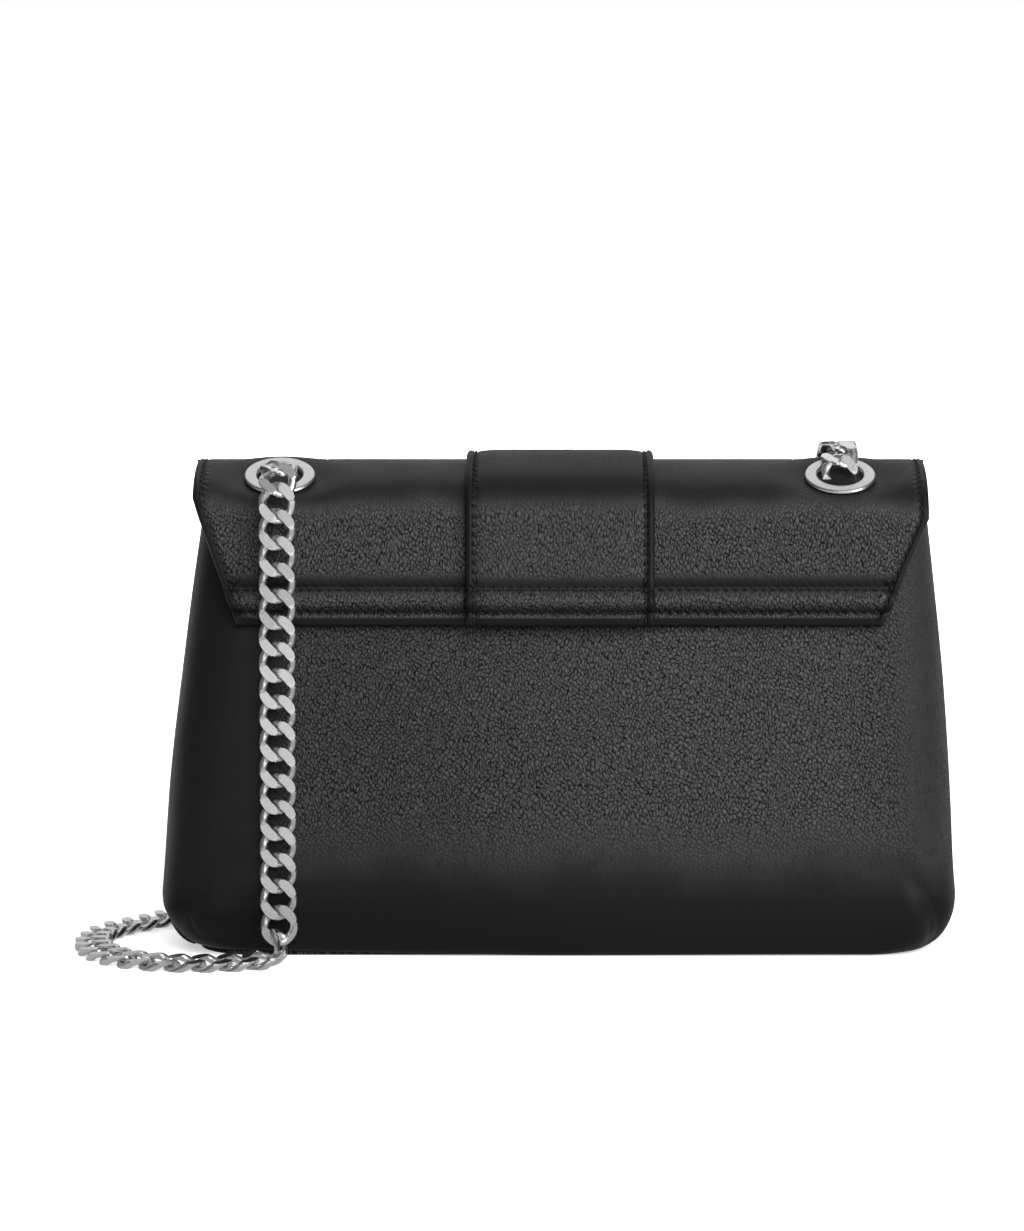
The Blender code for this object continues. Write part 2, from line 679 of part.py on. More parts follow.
def yoke_runs(kind_last):
    """Runs of the yoke's rows, from the rear hem to the fold and on to the shoulder's hem."""
    height = DOME_BASE_HEIGHT - YOKE_HEM_HEIGHT
    low = ROLL_LOW / height
    high = ROLL_HIGH / height
    runs = [0.0, low] + [mix(low, high, share) for share in ROLL_SHARES] + [high, (high + 1.0) / 2]
    fold = run_at_depth(FOLD_OFFSET)
    flat = EYELET_FLAT_REACH
    rear = run_near_eyelet(-flat)
    runs += [1.0, (1.0 + rear) / 2, rear, run_near_eyelet(-flat / 2), run_near_eyelet(0)]
    runs += [run_near_eyelet(flat / 2), run_near_eyelet(flat), fold]
    if kind_last == "shoulder":
        runs += [mix(fold, FRONT_TOP_SHARE, share) for share in SHOULDER_ARC_SHARES]
        runs += [mix(FRONT_TOP_SHARE, FRONT_HEM_SHARE, share) for share in SHOULDER_FALL_SHARES]
    return sorted(set(runs))


def build_yoke_sheet(name, lift, thickness, trim, finish, rolled):
    """Make a sheet of the yoke with its shoulders, open in the middle in front of the fold."""
    columns = yoke_columns()
    runs = yoke_runs("shoulder")
    fold = run_at_depth(FOLD_OFFSET)
    rows = [[dome_point(x, run, lift, "shoulder", rolled) for x in columns] for run in runs]
    bm, lines = grid_sheet(rows)
    slot = FLAP_WIDTH / 2 + FLAP_SIDE_GAP
    unwanted = []
    for row, (lower, upper) in enumerate(zip(lines, lines[1:])):
        if runs[row] < fold - NORMAL_STEP:
            continue
        for index in range(len(columns) - 1):
            if max(abs(columns[index]), abs(columns[index + 1])) <= slot + NORMAL_STEP:
                corner = (lower[index], lower[index + 1], upper[index + 1], upper[index])
                unwanted.append(bm.faces.get(corner))
    bmesh.ops.delete(bm, geom=unwanted, context="FACES")
    for side in (-1.0, 1.0):
        diagonal_cut(bm, side, YOKE_HEM_WIDTH / 2 - trim, YOKE_WIDTH / 2 - trim,
                     YOKE_HEM_HEIGHT, YOKE_DIAGONAL_TOP)
    sheet = add_object(name, bm, finish)
    add_wall(sheet, thickness)
    return sheet


def build_yoke():
    """Make the yoke, its lining and the padding of its roll."""
    yoke = build_yoke_sheet("yoke", 0.0, SKIN_THICKNESS, 0.0, BLACK_LEATHER, True)
    lining = build_yoke_sheet("yoke_lining", -(SKIN_THICKNESS + YOKE_LINING_GAP), LINING_THICKNESS,
                              SHEET_GAP, SUEDE, False)
    return yoke, lining


def turned_solid(profile, sides):
    """Turn a closed profile of radius and height round Z."""
    bm = bmesh.new()
    rings = []
    for index in range(sides):
        angle = 2.0 * math.pi * index / sides
        ring = [bm.verts.new((radius * math.cos(angle), radius * math.sin(angle), height))
                for radius, height in profile]
        rings.append(ring)
    count = len(profile)
    for index in range(sides):
        ring = rings[index]
        after = rings[(index + 1) % sides]
        for corner in range(count):
            follow = (corner + 1) % count
            bm.faces.new((ring[corner], after[corner], after[follow], ring[follow]))
    bmesh.ops.recalc_face_normals(bm, faces=bm.faces[:])
    return bm


def turned_disc(profile, sides):
    """Turn an open profile that starts and ends on Z."""
    bm = bmesh.new()
    first = bm.verts.new((0, 0, profile[0][1]))
    last = bm.verts.new((0, 0, profile[-1][1]))
    rings = []
    for index in range(sides):
        angle = 2.0 * math.pi * index / sides
        rings.append([bm.verts.new((radius * math.cos(angle), radius * math.sin(angle), height))
                      for radius, height in profile[1:-1]])
    for index in range(sides):
        ring = rings[index]
        after = rings[(index + 1) % sides]
        bm.faces.new((first, ring[0], after[0]))
        bm.faces.new((last, after[-1], ring[-1]))
        for corner in range(len(ring) - 1):
            bm.faces.new((ring[corner], ring[corner + 1], after[corner + 1], after[corner]))
    bmesh.ops.recalc_face_normals(bm, faces=bm.faces[:])
    return bm


def hole_cutter(name, radius, low, high, frame):
    """Make a round cutter along Z of a frame."""
    bm = bmesh.new()
    matrix = frame @ Matrix.Translation((0, 0, (low + high) / 2))
    bmesh.ops.create_cone(bm, cap_ends=True, segments=HOLE_SIDES, radius1=radius, radius2=radius,
                          depth=high - low, matrix=matrix)
    return add_cutter(name, bm)


def build_eyelets(yoke, yoke_lining):
    """Make both eyelets and their washers, and cut their holes."""
    under_yoke = SKIN_THICKNESS + YOKE_LINING_GAP + LINING_THICKNESS + SHEET_GAP
    barrel_end = under_yoke + WASHER_THICKNESS + EYELET_BARREL_END
    top = SHEET_GAP + EYELET_RIM_HEIGHT
    ring = (
        (EYELET_HOLE_RADIUS + EYELET_BEVEL, top),
        (EYELET_OUTER_RADIUS - EYELET_BEVEL, top),
        (EYELET_OUTER_RADIUS, top - EYELET_BEVEL),
        (EYELET_OUTER_RADIUS, SHEET_GAP),
        (EYELET_BARREL_RADIUS, SHEET_GAP),
        (EYELET_BARREL_RADIUS, -barrel_end),
        (EYELET_HOLE_RADIUS, -barrel_end),
        (EYELET_HOLE_RADIUS, top - EYELET_BEVEL),
    )
    hole = EYELET_BARREL_RADIUS + EYELET_HOLE_CLEARANCE
    washer = (
        (hole, -under_yoke),
        (WASHER_RADIUS, -under_yoke),
        (WASHER_RADIUS, -under_yoke - WASHER_THICKNESS),
        (hole, -under_yoke - WASHER_THICKNESS),
    )
    for side, word in ((-1.0, "left"), (1.0, "right")):
        frame = eyelet_frame(side)
        cutter = hole_cutter("eyelet_hole_" + word, hole, -CUT_OVERRUN, CUT_OVERRUN, frame)
        add_boolean(yoke, cutter, "DIFFERENCE")
        add_boolean(yoke_lining, cutter, "DIFFERENCE")
        for name, profile in (("eyelet_", ring), ("eyelet_washer_", washer)):
            bm = turned_solid(profile, TURN_SIDES)
            part = add_object(name + word, bm, STEEL)
            part.matrix_world = frame


def band_point(share, run, lift, kind):
    """Point of the centre band at a share of its half width."""
    return dome_point(share * BAND_WIDTH / 2, run, lift, kind)


def build_band(name, runs, kind):
    """Make one length of the centre band, on the yoke or on the flap."""
    lift = BAND_LIFT + BAND_THICKNESS
    rows = [[band_point(share, run, lift, kind) for share in (-1.0, 0.0, 1.0)] for run in runs]
    bm, _ = grid_sheet(rows)
    band = add_object(name, bm, BLACK_LEATHER)
    add_wall(band, BAND_THICKNESS)
    return band


def flap_columns(half, trim):
    """Places across the flap."""
    band = BAND_WIDTH / 2
    right = [0.0, band, (band + half) / 2, half - trim]
    return [-x for x in reversed(right[1:])] + right


def flap_runs(first):
    """Runs of the flap's rows, from its fold to its hem."""
    arc = [mix(first, FRONT_TOP_SHARE, share) for share in FLAP_ARC_SHARES]
    return arc + [mix(FRONT_TOP_SHARE, FRONT_HEM_SHARE, share) for share in FLAP_FALL_SHARES]


def fold_run(gap):
    """Run of the fold, moved forwards by a gap."""
    return run_at_depth(FOLD_OFFSET + gap)


def build_flap_sheet(name, lift, thickness, trim, finish):
    """Make one full sheet of the moving flap."""
    runs = flap_runs(fold_run(FLAP_FOLD_GAP))
    columns = flap_columns(FLAP_WIDTH / 2, trim)
    bm, _ = grid_sheet([[dome_point(x, run, lift, "flap") for x in columns] for run in runs])
    for side in (-1.0, 1.0):
        diagonal_cut(bm, side, FLAP_HEM_WIDTH / 2 - trim, FLAP_WIDTH / 2 - trim,
                     FLAP_HEM_HEIGHT, FLAP_DIAGONAL_TOP)
    sheet = add_object(name, bm, finish)
    add_wall(sheet, thickness)
    return sheet


def run_at_front_height(height):
    """Run down the flap's front at a height."""
    return FRONT_TOP_SHARE + (DOME_BASE_HEIGHT - height) / (DOME_BASE_HEIGHT - FLAP_HEM_HEIGHT)


def build_flap():
    """Make the flap's leather, board and lining."""
    build_flap_sheet("flap_front", 0.0, SKIN_THICKNESS, 0.0, BLACK_LEATHER)
    lining_lift = -(SKIN_THICKNESS + SHEET_GAP + BOARD_THICKNESS + SHEET_GAP)
    lining = build_flap_sheet("flap_lining", lining_lift, LINING_THICKNESS, SHEET_GAP, SUEDE)
    half = FLAP_WIDTH / 2 - FLAP_BOARD_MARGIN
    low = FLAP_HEM_HEIGHT + FLAP_BOARD_MARGIN
    runs = [mix(run_at_front_height(FLAP_BOARD_TOP), run_at_front_height(low), share)
            for share in BOARD_SHARES]
    lift = -(SKIN_THICKNESS + SHEET_GAP)
    bm, _ = grid_sheet([[dome_point(x, run, lift, "flap") for x in (-half, 0, half)] for run in runs])
    for side in (-1.0, 1.0):
        diagonal_cut(bm, side, FLAP_HEM_WIDTH / 2 - FLAP_BOARD_MARGIN, half, low, FLAP_DIAGONAL_TOP)
    board = add_object("flap_stiffener", bm, BOARD)
    add_wall(board, BOARD_THICKNESS)
    return lining, board


def build_bands():
    """Make the two lengths of the centre band, which meet at the fold."""
    rear = [run for run in yoke_runs("yoke") if run <= fold_run(0) + NORMAL_STEP]
    build_band("band_back", rear, "flap")
    build_band("band_front", flap_runs(fold_run(FLAP_FOLD_GAP)), "flap")


def front_frame(kind):
    """Frame of the snap on the front panel or under the flap, with Z out of the leather."""
    if kind == "panel":
        centre = wall_point(FRONT_MIDDLE_SHARE, SNAP_HEIGHT, 0.0)
        inner = wall_point(FRONT_MIDDLE_SHARE, SNAP_HEIGHT, NORMAL_STEP)
        normal = (centre - inner).normalized()
    else:
        run = run_at_front_height(SNAP_HEIGHT)
        lift = -(SKIN_THICKNESS + SHEET_GAP + BOARD_THICKNESS + SHEET_GAP + LINING_THICKNESS)
        normal = -dome_normal(run, "flap")
        centre = dome_point(0, run, lift, "flap")
    across = Vector((1, 0, 0))
    frame = Matrix((across, normal.cross(across), normal)).transposed().to_4x4()
    frame.translation = centre
    return frame


def build_snap(front, sack, flap_lining, stiffener):
    """Make the magnetic snap: a socket on the front panel and a stud under the flap."""
    hole = SHANK_RADIUS + SHANK_CLEARANCE
    panel = front_frame("panel")
    through = lining_inset() + LINING_THICKNESS + LINING_SLACK
    end = through + SNAP_WASHER_THICKNESS + SHEET_GAP
    socket = (
        (0, SHEET_GAP + SOCKET_HEIGHT - SOCKET_DISH_DEPTH),
        (SOCKET_DISH_RADIUS, SHEET_GAP + SOCKET_HEIGHT - SOCKET_DISH_DEPTH),
        (SOCKET_DISH_RADIUS, SHEET_GAP + SOCKET_HEIGHT),
        (SOCKET_RADIUS, SHEET_GAP + SOCKET_HEIGHT),
        (SOCKET_RADIUS, SHEET_GAP),
        (SHANK_RADIUS, SHEET_GAP),
        (SHANK_RADIUS, -end),
        (0, -end),
    )
    washer = (
        (hole, -through),
        (SNAP_WASHER_RADIUS, -through),
        (SNAP_WASHER_RADIUS, -through - SNAP_WASHER_THICKNESS),
        (hole, -through - SNAP_WASHER_THICKNESS),
    )
    cutter = hole_cutter("snap_hole_panel", hole, -CUT_OVERRUN, CUT_OVERRUN, panel)
    add_boolean(front, cutter, "DIFFERENCE")
    add_boolean(sack, cutter, "DIFFERENCE")
    part = add_object("snap_socket", turned_disc(socket, TURN_SIDES), STEEL)
    part.matrix_world = panel
    part = add_object("snap_socket_washer", turned_solid(washer, TURN_SIDES), STEEL)
    part.matrix_world = panel

    flap = front_frame("flap")
    depth = LINING_THICKNESS + SHEET_GAP + BOARD_THICKNESS
    stud = (
        (0, SHEET_GAP + STUD_HEIGHT + STUD_NUB_HEIGHT),
        (STUD_NUB_RADIUS, SHEET_GAP + STUD_HEIGHT + STUD_NUB_HEIGHT),
        (STUD_NUB_RADIUS, SHEET_GAP + STUD_HEIGHT),
        (STUD_RADIUS, SHEET_GAP + STUD_HEIGHT),
        (STUD_RADIUS, SHEET_GAP),
        (SHANK_RADIUS, SHEET_GAP),
        (SHANK_RADIUS, -depth),
        (0, -depth),
    )
    low = -(LINING_THICKNESS + SHEET_GAP)
    plate = (
        (hole, low),
        (SNAP_WASHER_RADIUS, low),
        (SNAP_WASHER_RADIUS, low - BOARD_THICKNESS),
        (hole, low - BOARD_THICKNESS),
    )
    add_boolean(flap_lining, hole_cutter("snap_hole_flap", hole, low, CUT_OVERRUN, flap), "DIFFERENCE")
    seat = hole_cutter("snap_seat_board", SNAP_WASHER_RADIUS + SHANK_CLEARANCE, -CUT_OVERRUN,
                       CUT_OVERRUN, flap)
    add_boolean(stiffener, seat, "DIFFERENCE")
    part = add_object("snap_stud", turned_disc(stud, TURN_SIDES), STEEL)
    part.matrix_world = flap
    part = add_object("snap_stud_washer", turned_solid(plate, TURN_SIDES), STEEL)
    part.matrix_world = flap


def build_roll_padding():
    """Make the filler of the padded roll, between the yoke and its lining."""
    height = DOME_BASE_HEIGHT - YOKE_HEM_HEIGHT
    low = ROLL_LOW / height
    high = ROLL_HIGH / height
    lift = -(SKIN_THICKNESS + SHEET_GAP)
    half = YOKE_HEM_WIDTH / 2 - ROLL_PADDING_MARGIN
    rows = []
    for share in ROLL_SHARES:
        run = mix(low, high, share)
        rows.append([dome_point(x, run, lift, "shoulder") for x in (-half, 0, half)])
    bm, _ = grid_sheet(rows)
    padding = add_object("roll_padding", bm, SUEDE)
    add_wall(padding, ROLL_PADDING_THICKNESS)


def smooth_route(points):
    """Read places and flat directions from a smooth curve through a route's points."""
    places = [Vector(place) for place, _ in points]
    faces = [Vector(face) for _, face in points]
    samples = []
    for index in range(len(places) - 1):
        before = places[max(index - 1, 0)]
        start = places[index]
        end = places[index + 1]
        after = places[min(index + 2, len(places) - 1)]
        for step in range(ROUTE_SAMPLES):
            share = step / ROUTE_SAMPLES
            square = share * share
            cube = square * share
            point = (start * 2.0 + (end - before) * share
                     + (before * 2.0 - start * 5.0 + end * 4.0 - after) * square
                     + (start * 3.0 - before - end * 3.0 + after) * cube) * 0.5
            samples.append((point, faces[index].lerp(faces[index + 1], share)))
    samples.append((places[-1], faces[-1]))
    return samples


def walk(samples, start, distance):
    """First sample after start that is at least a distance away from it."""
    index = start
    while index < len(samples) - 1 and (samples[index][0] - samples[start][0]).length < distance:
        index += 1
    return index


def even_joints(samples, start, end, pitch):
    """Samples from start to end, evenly apart by about a pitch."""
    lengths = [0.0]
    for index in range(start, end):
        lengths.append(lengths[-1] + (samples[index + 1][0] - samples[index][0]).length)
    count = max(round(lengths[-1] / pitch), 1)
    joints = []
    index = 0
    for joint in range(count + 1):
        wanted = lengths[-1] * joint / count
        while index < len(lengths) - 1 and lengths[index] < wanted:
            index += 1
        joints.append(samples[start + index])
    return joints


def link_frame(start, end):
    """Middle and directions of a link between two joints: along, across and out of its flat side."""
    along = (end[0] - start[0]).normalized()
    face = (start[1] + end[1]).normalized()
    across = along.cross(face).normalized()
    return (start[0] + end[0]) / 2, along, across, across.cross(along)


def add_link(bm, start, end):
    """Add one link of the chain, a flattened and twisted loop."""
    centre, along, across, face = link_frame(start, end)
    half_long = (end[0] - start[0]).length / 2 + CHAIN_WIRE / 2 - CHAIN_LAP / 2
    half_wide = (CHAIN_WIDTH - CHAIN_WIRE) / 2
    half_wire = CHAIN_WIRE / 2
    half_end = LINK_END_WIDTH / 2
    half_side = LINK_SIDE_LENGTH / 2
    quarter = ((half_long, half_end), (half_side, half_wide))
    outline = list(quarter) + [(-x, y) for x, y in reversed(quarter)]
    outline += [(-x, -y) for x, y in quarter] + [(x, -y) for x, y in reversed(quarter)]
    loop = []
    for forward, side in outline:
        twist = LINK_TWIST * forward / half_long
        loop.append(Vector((forward, side * math.cos(twist), side * math.sin(twist))))
    stations = len(loop)
    rings = []
    for index, middle in enumerate(loop):
        tangent = ((loop[(index + 1) % stations] - middle).normalized()
                   + (middle - loop[index - 1]).normalized())
        outward = tangent.cross(Vector((0, 0, 1))).normalized()
        upward = outward.cross(tangent).normalized()
        ring = []
        for turn_out, turn_up in ((1, 1), (1, -1), (-1, -1), (-1, 1)):
            corner = middle + outward * (turn_out * half_wire) + upward * (turn_up * half_wire)
            corner.z = min(max(corner.z, -CHAIN_THICKNESS / 2), CHAIN_THICKNESS / 2)
            ring.append(bm.verts.new(centre + along * corner.x + across * corner.y + face * corner.z))
        rings.append(ring)
    for index, ring in enumerate(rings):
        after = rings[(index + 1) % stations]
        for corner in range(4):
            follow = (corner + 1) % 4
            bm.faces.new((ring[corner], after[corner], after[follow], ring[follow]))


def build_link_run(name, joints):
    """Make a run of links whose ends bear on each other, joined where they touch."""
    shells = [bmesh.new(), bmesh.new()]
    for index in range(len(joints) - 1):
        add_link(shells[index % 2], joints[index], joints[index + 1])
    for bm in shells:
        bmesh.ops.recalc_face_normals(bm, faces=bm.faces[:])
        bmesh.ops.triangulate(bm, faces=bm.faces[:])
    run = add_object(name, shells[0], STEEL)
    add_boolean(run, add_cutter(name + "_every_second", shells[1]), "UNION")
    return run


def build_flat_run(name, samples, start, end):
    """Make a run of the chain as a plain flat band of its width and thickness."""
    joints = even_joints(samples, start, end, BAND_RUN_STEP)
    bm = bmesh.new()
    rings = []
    bevel = CHAIN_BEVEL
    outline = (
        (CHAIN_WIDTH / 2, CHAIN_THICKNESS / 2 - bevel),
        (CHAIN_WIDTH / 2 - bevel, CHAIN_THICKNESS / 2),
        (bevel - CHAIN_WIDTH / 2, CHAIN_THICKNESS / 2),
        (-CHAIN_WIDTH / 2, CHAIN_THICKNESS / 2 - bevel),
        (-CHAIN_WIDTH / 2, bevel - CHAIN_THICKNESS / 2),
        (bevel - CHAIN_WIDTH / 2, -CHAIN_THICKNESS / 2),
        (CHAIN_WIDTH / 2 - bevel, -CHAIN_THICKNESS / 2),
        (CHAIN_WIDTH / 2, bevel - CHAIN_THICKNESS / 2),
    )
    for index, (point, _) in enumerate(joints):
        before = joints[max(index - 1, 0)]
        after = joints[min(index + 1, len(joints) - 1)]
        _, _, across, face = link_frame(before, after)
        rings.append([bm.verts.new(point + across * wide + face * high) for wide, high in outline])
    for ring, after in zip(rings, rings[1:]):
        for corner in range(len(outline)):
            follow = (corner + 1) % len(outline)
            bm.faces.new((ring[corner], after[corner], after[follow], ring[follow]))
    bm.faces.new(rings[0])
    bm.faces.new(list(reversed(rings[-1])))
    bmesh.ops.recalc_face_normals(bm, faces=bm.faces[:])
    return add_object(name, bm, STEEL)


def build_chain():
    """Make the runs of the chain, each ending a small gap short of the next."""
    samples = smooth_route(CHAIN_ROUTE)
    end = None
    last_reach = 0.0
    for name, route_point, shaped, gap in CHAIN_RUNS:
        reach = CHAIN_WIRE - CHAIN_LAP / 2 if shaped else 0.0
        start = 0 if end is None else walk(samples, end, last_reach + reach + gap)
        end = route_point * ROUTE_SAMPLES
        if shaped:
            build_link_run(name, even_joints(samples, start, end, CHAIN_PITCH))
        else:
            build_flat_run(name, samples, start, end)
        last_reach = reach
    inner = smooth_route(INNER_ROUTE)
    build_flat_run("chain_inner_run", inner, 0, len(inner) - 1)


def hang_flap(names):
    """Hang the flap's pieces on its fold, where the centre band bends on its outer face."""
    hinge = bpy.data.objects.new("flap_fold", None)
    bpy.context.scene.collection.objects.link(hinge)
    hinge.location = dome_point(0, fold_run(0), BAND_LIFT + BAND_THICKNESS, "flap")
    bpy.context.view_layer.update()
    for name in names:
        piece = bpy.data.objects[name]
        piece.parent = hinge
        piece.matrix_parent_inverse = hinge.matrix_world.inverted()


def main():
    """Build the whole bag."""
    clear_scene()
    front = build_body()
    build_sole()
    sack = build_lining()
    build_pocket()
    yoke, yoke_lining = build_yoke()
    build_roll_padding()
    build_eyelets(yoke, yoke_lining)
    flap_lining, stiffener = build_flap()
    build_bands()
    build_snap(front, sack, flap_lining, stiffener)
    hang_flap(("flap_front", "flap_lining", "flap_stiffener", "band_front", "snap_stud", "snap_stud_washer"))
    build_chain()


main()
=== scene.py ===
"""Small flap bag of soft black leather with a curb chain strap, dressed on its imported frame.

The back of the bag faces -Y, its closure faces +Y, and it stands on the floor at z = 0. All lengths are
in metres.
"""

import logging
import math
from dataclasses import dataclass, field
from enum import Enum

import bmesh
import bpy
import numpy as np
from mathutils import Matrix, Vector


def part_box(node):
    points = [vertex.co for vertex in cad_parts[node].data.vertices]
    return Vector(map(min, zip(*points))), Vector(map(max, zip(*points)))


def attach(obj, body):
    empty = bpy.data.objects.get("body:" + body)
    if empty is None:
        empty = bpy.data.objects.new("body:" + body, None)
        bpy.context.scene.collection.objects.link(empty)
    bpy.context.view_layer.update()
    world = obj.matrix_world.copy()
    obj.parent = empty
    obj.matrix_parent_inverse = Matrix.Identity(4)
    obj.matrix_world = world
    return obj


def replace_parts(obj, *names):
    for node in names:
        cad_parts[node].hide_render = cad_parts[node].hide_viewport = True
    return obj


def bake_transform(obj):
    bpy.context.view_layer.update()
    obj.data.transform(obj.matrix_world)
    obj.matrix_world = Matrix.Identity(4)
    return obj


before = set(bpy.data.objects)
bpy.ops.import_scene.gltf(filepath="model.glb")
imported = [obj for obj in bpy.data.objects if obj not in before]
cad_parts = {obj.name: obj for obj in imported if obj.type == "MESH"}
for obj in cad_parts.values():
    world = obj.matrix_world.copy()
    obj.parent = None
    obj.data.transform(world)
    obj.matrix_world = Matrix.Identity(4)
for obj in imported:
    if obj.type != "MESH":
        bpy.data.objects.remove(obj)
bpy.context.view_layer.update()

LOG = logging.getLogger("bag")
SEAM_REACH = (0.004, 0.006)
CLOSE_COLUMNS = (0.0, 0.00015, 0.0004, 0.0008)


class Side(Enum):
    """Left or right as seen from the back of the bag."""

    LEFT = -1.0
    RIGHT = 1.0


class Front(Enum):
    """What a front hem belongs to."""

    FLAP = "flap"
    SHOULDER = "shoulder"


# Shared mathematics


def mix(low, high, share):
    """Blend two values or arrays.

    Args:
        low: Value at share 0.
        high: Value at share 1.
        share: Share of the way from low to high.

    Returns:
        The blended value.
    """
    return low + (high - low) * share


def ease(share):
    """Ease a share between 0 and 1.

    Args:
        share: Share, a number or an array.

    Returns:
        The eased share, kept between 0 and 1.
    """
    bounded = np.clip(share, 0.0, 1.0)
    return bounded * bounded * (3.0 - 2.0 * bounded)


def ramp(value, start: float, end: float):
    """Ease a value's way from one place to another.

    Args:
        value: Value, a number or an array.
        start: Where the share is 0.
        end: Where the share is 1, above or below the start.

    Returns:
        The eased share, from 0 to 1.
    """
    return ease((value - start) / (end - start))


def unit(vectors: np.ndarray) -> np.ndarray:
    """Scale vectors to length 1.

    Args:
        vectors: Array whose last axis holds the three coordinates.

    Returns:
        The unit vectors.
    """
    return vectors / np.maximum(np.linalg.norm(vectors, axis=-1, keepdims=True), 1e-12)


def ridge(distance, width):
    """Height of a soft ridge or groove of depth 1.

    Args:
        distance: Distance from its middle line.
        width: Half width where it has fallen to about a third.

    Returns:
        The height, from 0 to 1.
    """
    return np.exp(-((distance / width) ** 2))


def rounded_edge(distance, width, depth):
    """How far a sheet's face drops towards its rounded edge.

    Args:
        distance: Distance from the edge.
        width: Width of the rounding.
        depth: Drop at the edge itself.

    Returns:
        The drop, 0 or more.
    """
    share = np.clip(1.0 - distance / width, 0.0, 1.0)
    return depth * (1.0 - np.sqrt(1.0 - share * share))


def nearest_seam(rows: list) -> np.ndarray:
    """Describe the nearest seam at every point of a grid.

    Args:
        rows: (length along the row, signed distance from it) grids of each seam.

    Returns:
        Grid of (length along, distance, strength).
    """
    along = np.stack([np.broadcast_to(row[0], rows[0][1].shape) for row in rows])
    apart = np.stack([row[1] for row in rows])
    which = np.argmin(np.abs(apart), axis=0)[None]
    chosen = np.take_along_axis(apart, which, 0)[0]
    strength = 1.0 - ramp(np.abs(chosen), *SEAM_REACH)
    return np.stack([np.take_along_axis(along, which, 0)[0], chosen, strength], axis=-1)


def lengths_along(points: np.ndarray, axis: int = 0) -> np.ndarray:
    """Lengths along a line of points, or along the rows or columns of a grid.

    Args:
        points: Line or grid of points.
        axis: Axis to follow.

    Returns:
        The lengths, 0 at the first point.
    """
    steps = np.linalg.norm(np.diff(points, axis=axis), axis=-1)
    first = np.zeros_like(np.take(steps, [0], axis))
    return np.concatenate([first, np.cumsum(steps, axis=axis)], axis=axis)


def spaced(low: float, high: float, step: float) -> np.ndarray:
    """Evenly spaced values that include both ends.

    Args:
        low: First value.
        high: Last value.
        step: Wanted spacing.

    Returns:
        The values.
    """
    return np.linspace(low, high, max(int(round(abs(high - low) / step)), 1) + 1)


# Mesh building


def add_mesh(name: str, points: np.ndarray, faces: list, fields: dict | None = None,
             sharp: float = 40.0) -> bpy.types.Object:
    """Make a smooth shaded mesh object from points and faces.

    Args:
        name: Name of the object.
        points: Array of points.
        faces: Lists of point numbers.
        fields: Values kept on the points, by name.
        sharp: Angle in degrees above which an edge stays sharp.

    Returns:
        The object, linked to the scene.
    """
    mesh = bpy.data.meshes.new(name)
    mesh.from_pydata(points.tolist(), [], faces)
    for key, values in (fields or {}).items():
        values = np.asarray(values, np.float32)
        kind = "FLOAT_VECTOR" if values.ndim == 2 else "FLOAT"
        attribute = mesh.attributes.new(key, kind, "POINT")
        attribute.data.foreach_set("vector" if values.ndim == 2 else "value", values.ravel())
    bm = bmesh.new()
    bm.from_mesh(mesh)
    bmesh.ops.remove_doubles(bm, verts=bm.verts[:], dist=1e-7)
    loose = [vert for vert in bm.verts if not vert.link_faces]
    bmesh.ops.delete(bm, geom=loose, context="VERTS")
    bm.to_mesh(mesh)
    bm.free()
    mesh.shade_smooth()
    mesh.set_sharp_from_angle(angle=math.radians(sharp))
    made = bpy.data.objects.new(name, mesh)
    bpy.context.scene.collection.objects.link(made)
    return made


def face_outwards(made: bpy.types.Object) -> bpy.types.Object:
    """Turn the faces of a closed mesh outwards.

    Args:
        made: The object.

    Returns:
        The object.
    """
    bm = bmesh.new()
    bm.from_mesh(made.data)
    bmesh.ops.recalc_face_normals(bm, faces=bm.faces[:])
    bm.to_mesh(made.data)
    bm.free()
    return made


def no_seam(grid: np.ndarray) -> dict:
    """Seam values of leather without stitches.

    Args:
        grid: A grid of the leather's size.

    Returns:
        The values by name.
    """
    none = np.zeros_like(grid)
    return {"pucker": none, "seam": np.stack([none, none + 1.0, none], axis=-1)}


def thick_sheet(name: str, outer: np.ndarray, inner: np.ndarray, keep: np.ndarray | None = None,
                wrap: bool = False, fields: dict | None = None) -> bpy.types.Object:
    """Make a closed sheet between two grids of points.

    Args:
        name: Name of the object.
        outer: Grid of points of the outer face, rows by columns by 3.
        inner: Grid of points of the inner face.
        keep: Which cells of the grid exist, or None for all.
        wrap: Whether the last column meets the first.
        fields: Grids of values kept on the points of both faces, by name.

    Returns:
        The object.
    """
    rows, columns = outer.shape[:2]
    index = np.arange(rows * columns).reshape(rows, columns)
    if wrap:
        index = np.concatenate([index, index[:, :1]], axis=1)
    corners = np.stack([index[:-1, :-1], index[:-1, 1:], index[1:, 1:], index[1:, :-1]], axis=-1)
    cells = corners.reshape(-1, 4) if keep is None else corners[keep]
    starts = cells.ravel()
    ends = np.roll(cells, -1, axis=1).ravel()
    keys = np.minimum(starts, ends) * (rows * columns) + np.maximum(starts, ends)
    _, place, counts = np.unique(keys, return_index=True, return_counts=True)
    border = place[counts == 1]
    shift = rows * columns
    walls = np.stack([ends[border], starts[border], starts[border] + shift, ends[border] + shift], axis=-1)
    faces = cells.tolist() + (cells[:, ::-1] + shift).tolist() + walls.tolist()
    points = np.concatenate([outer.reshape(-1, 3), inner.reshape(-1, 3)])
    doubled = {}
    for key, values in (fields or {}).items():
        flat = values.reshape(shift, -1) if values.ndim == 3 else values.reshape(shift)
        doubled[key] = np.concatenate([flat, flat])
    return add_mesh(name, points, faces, doubled)


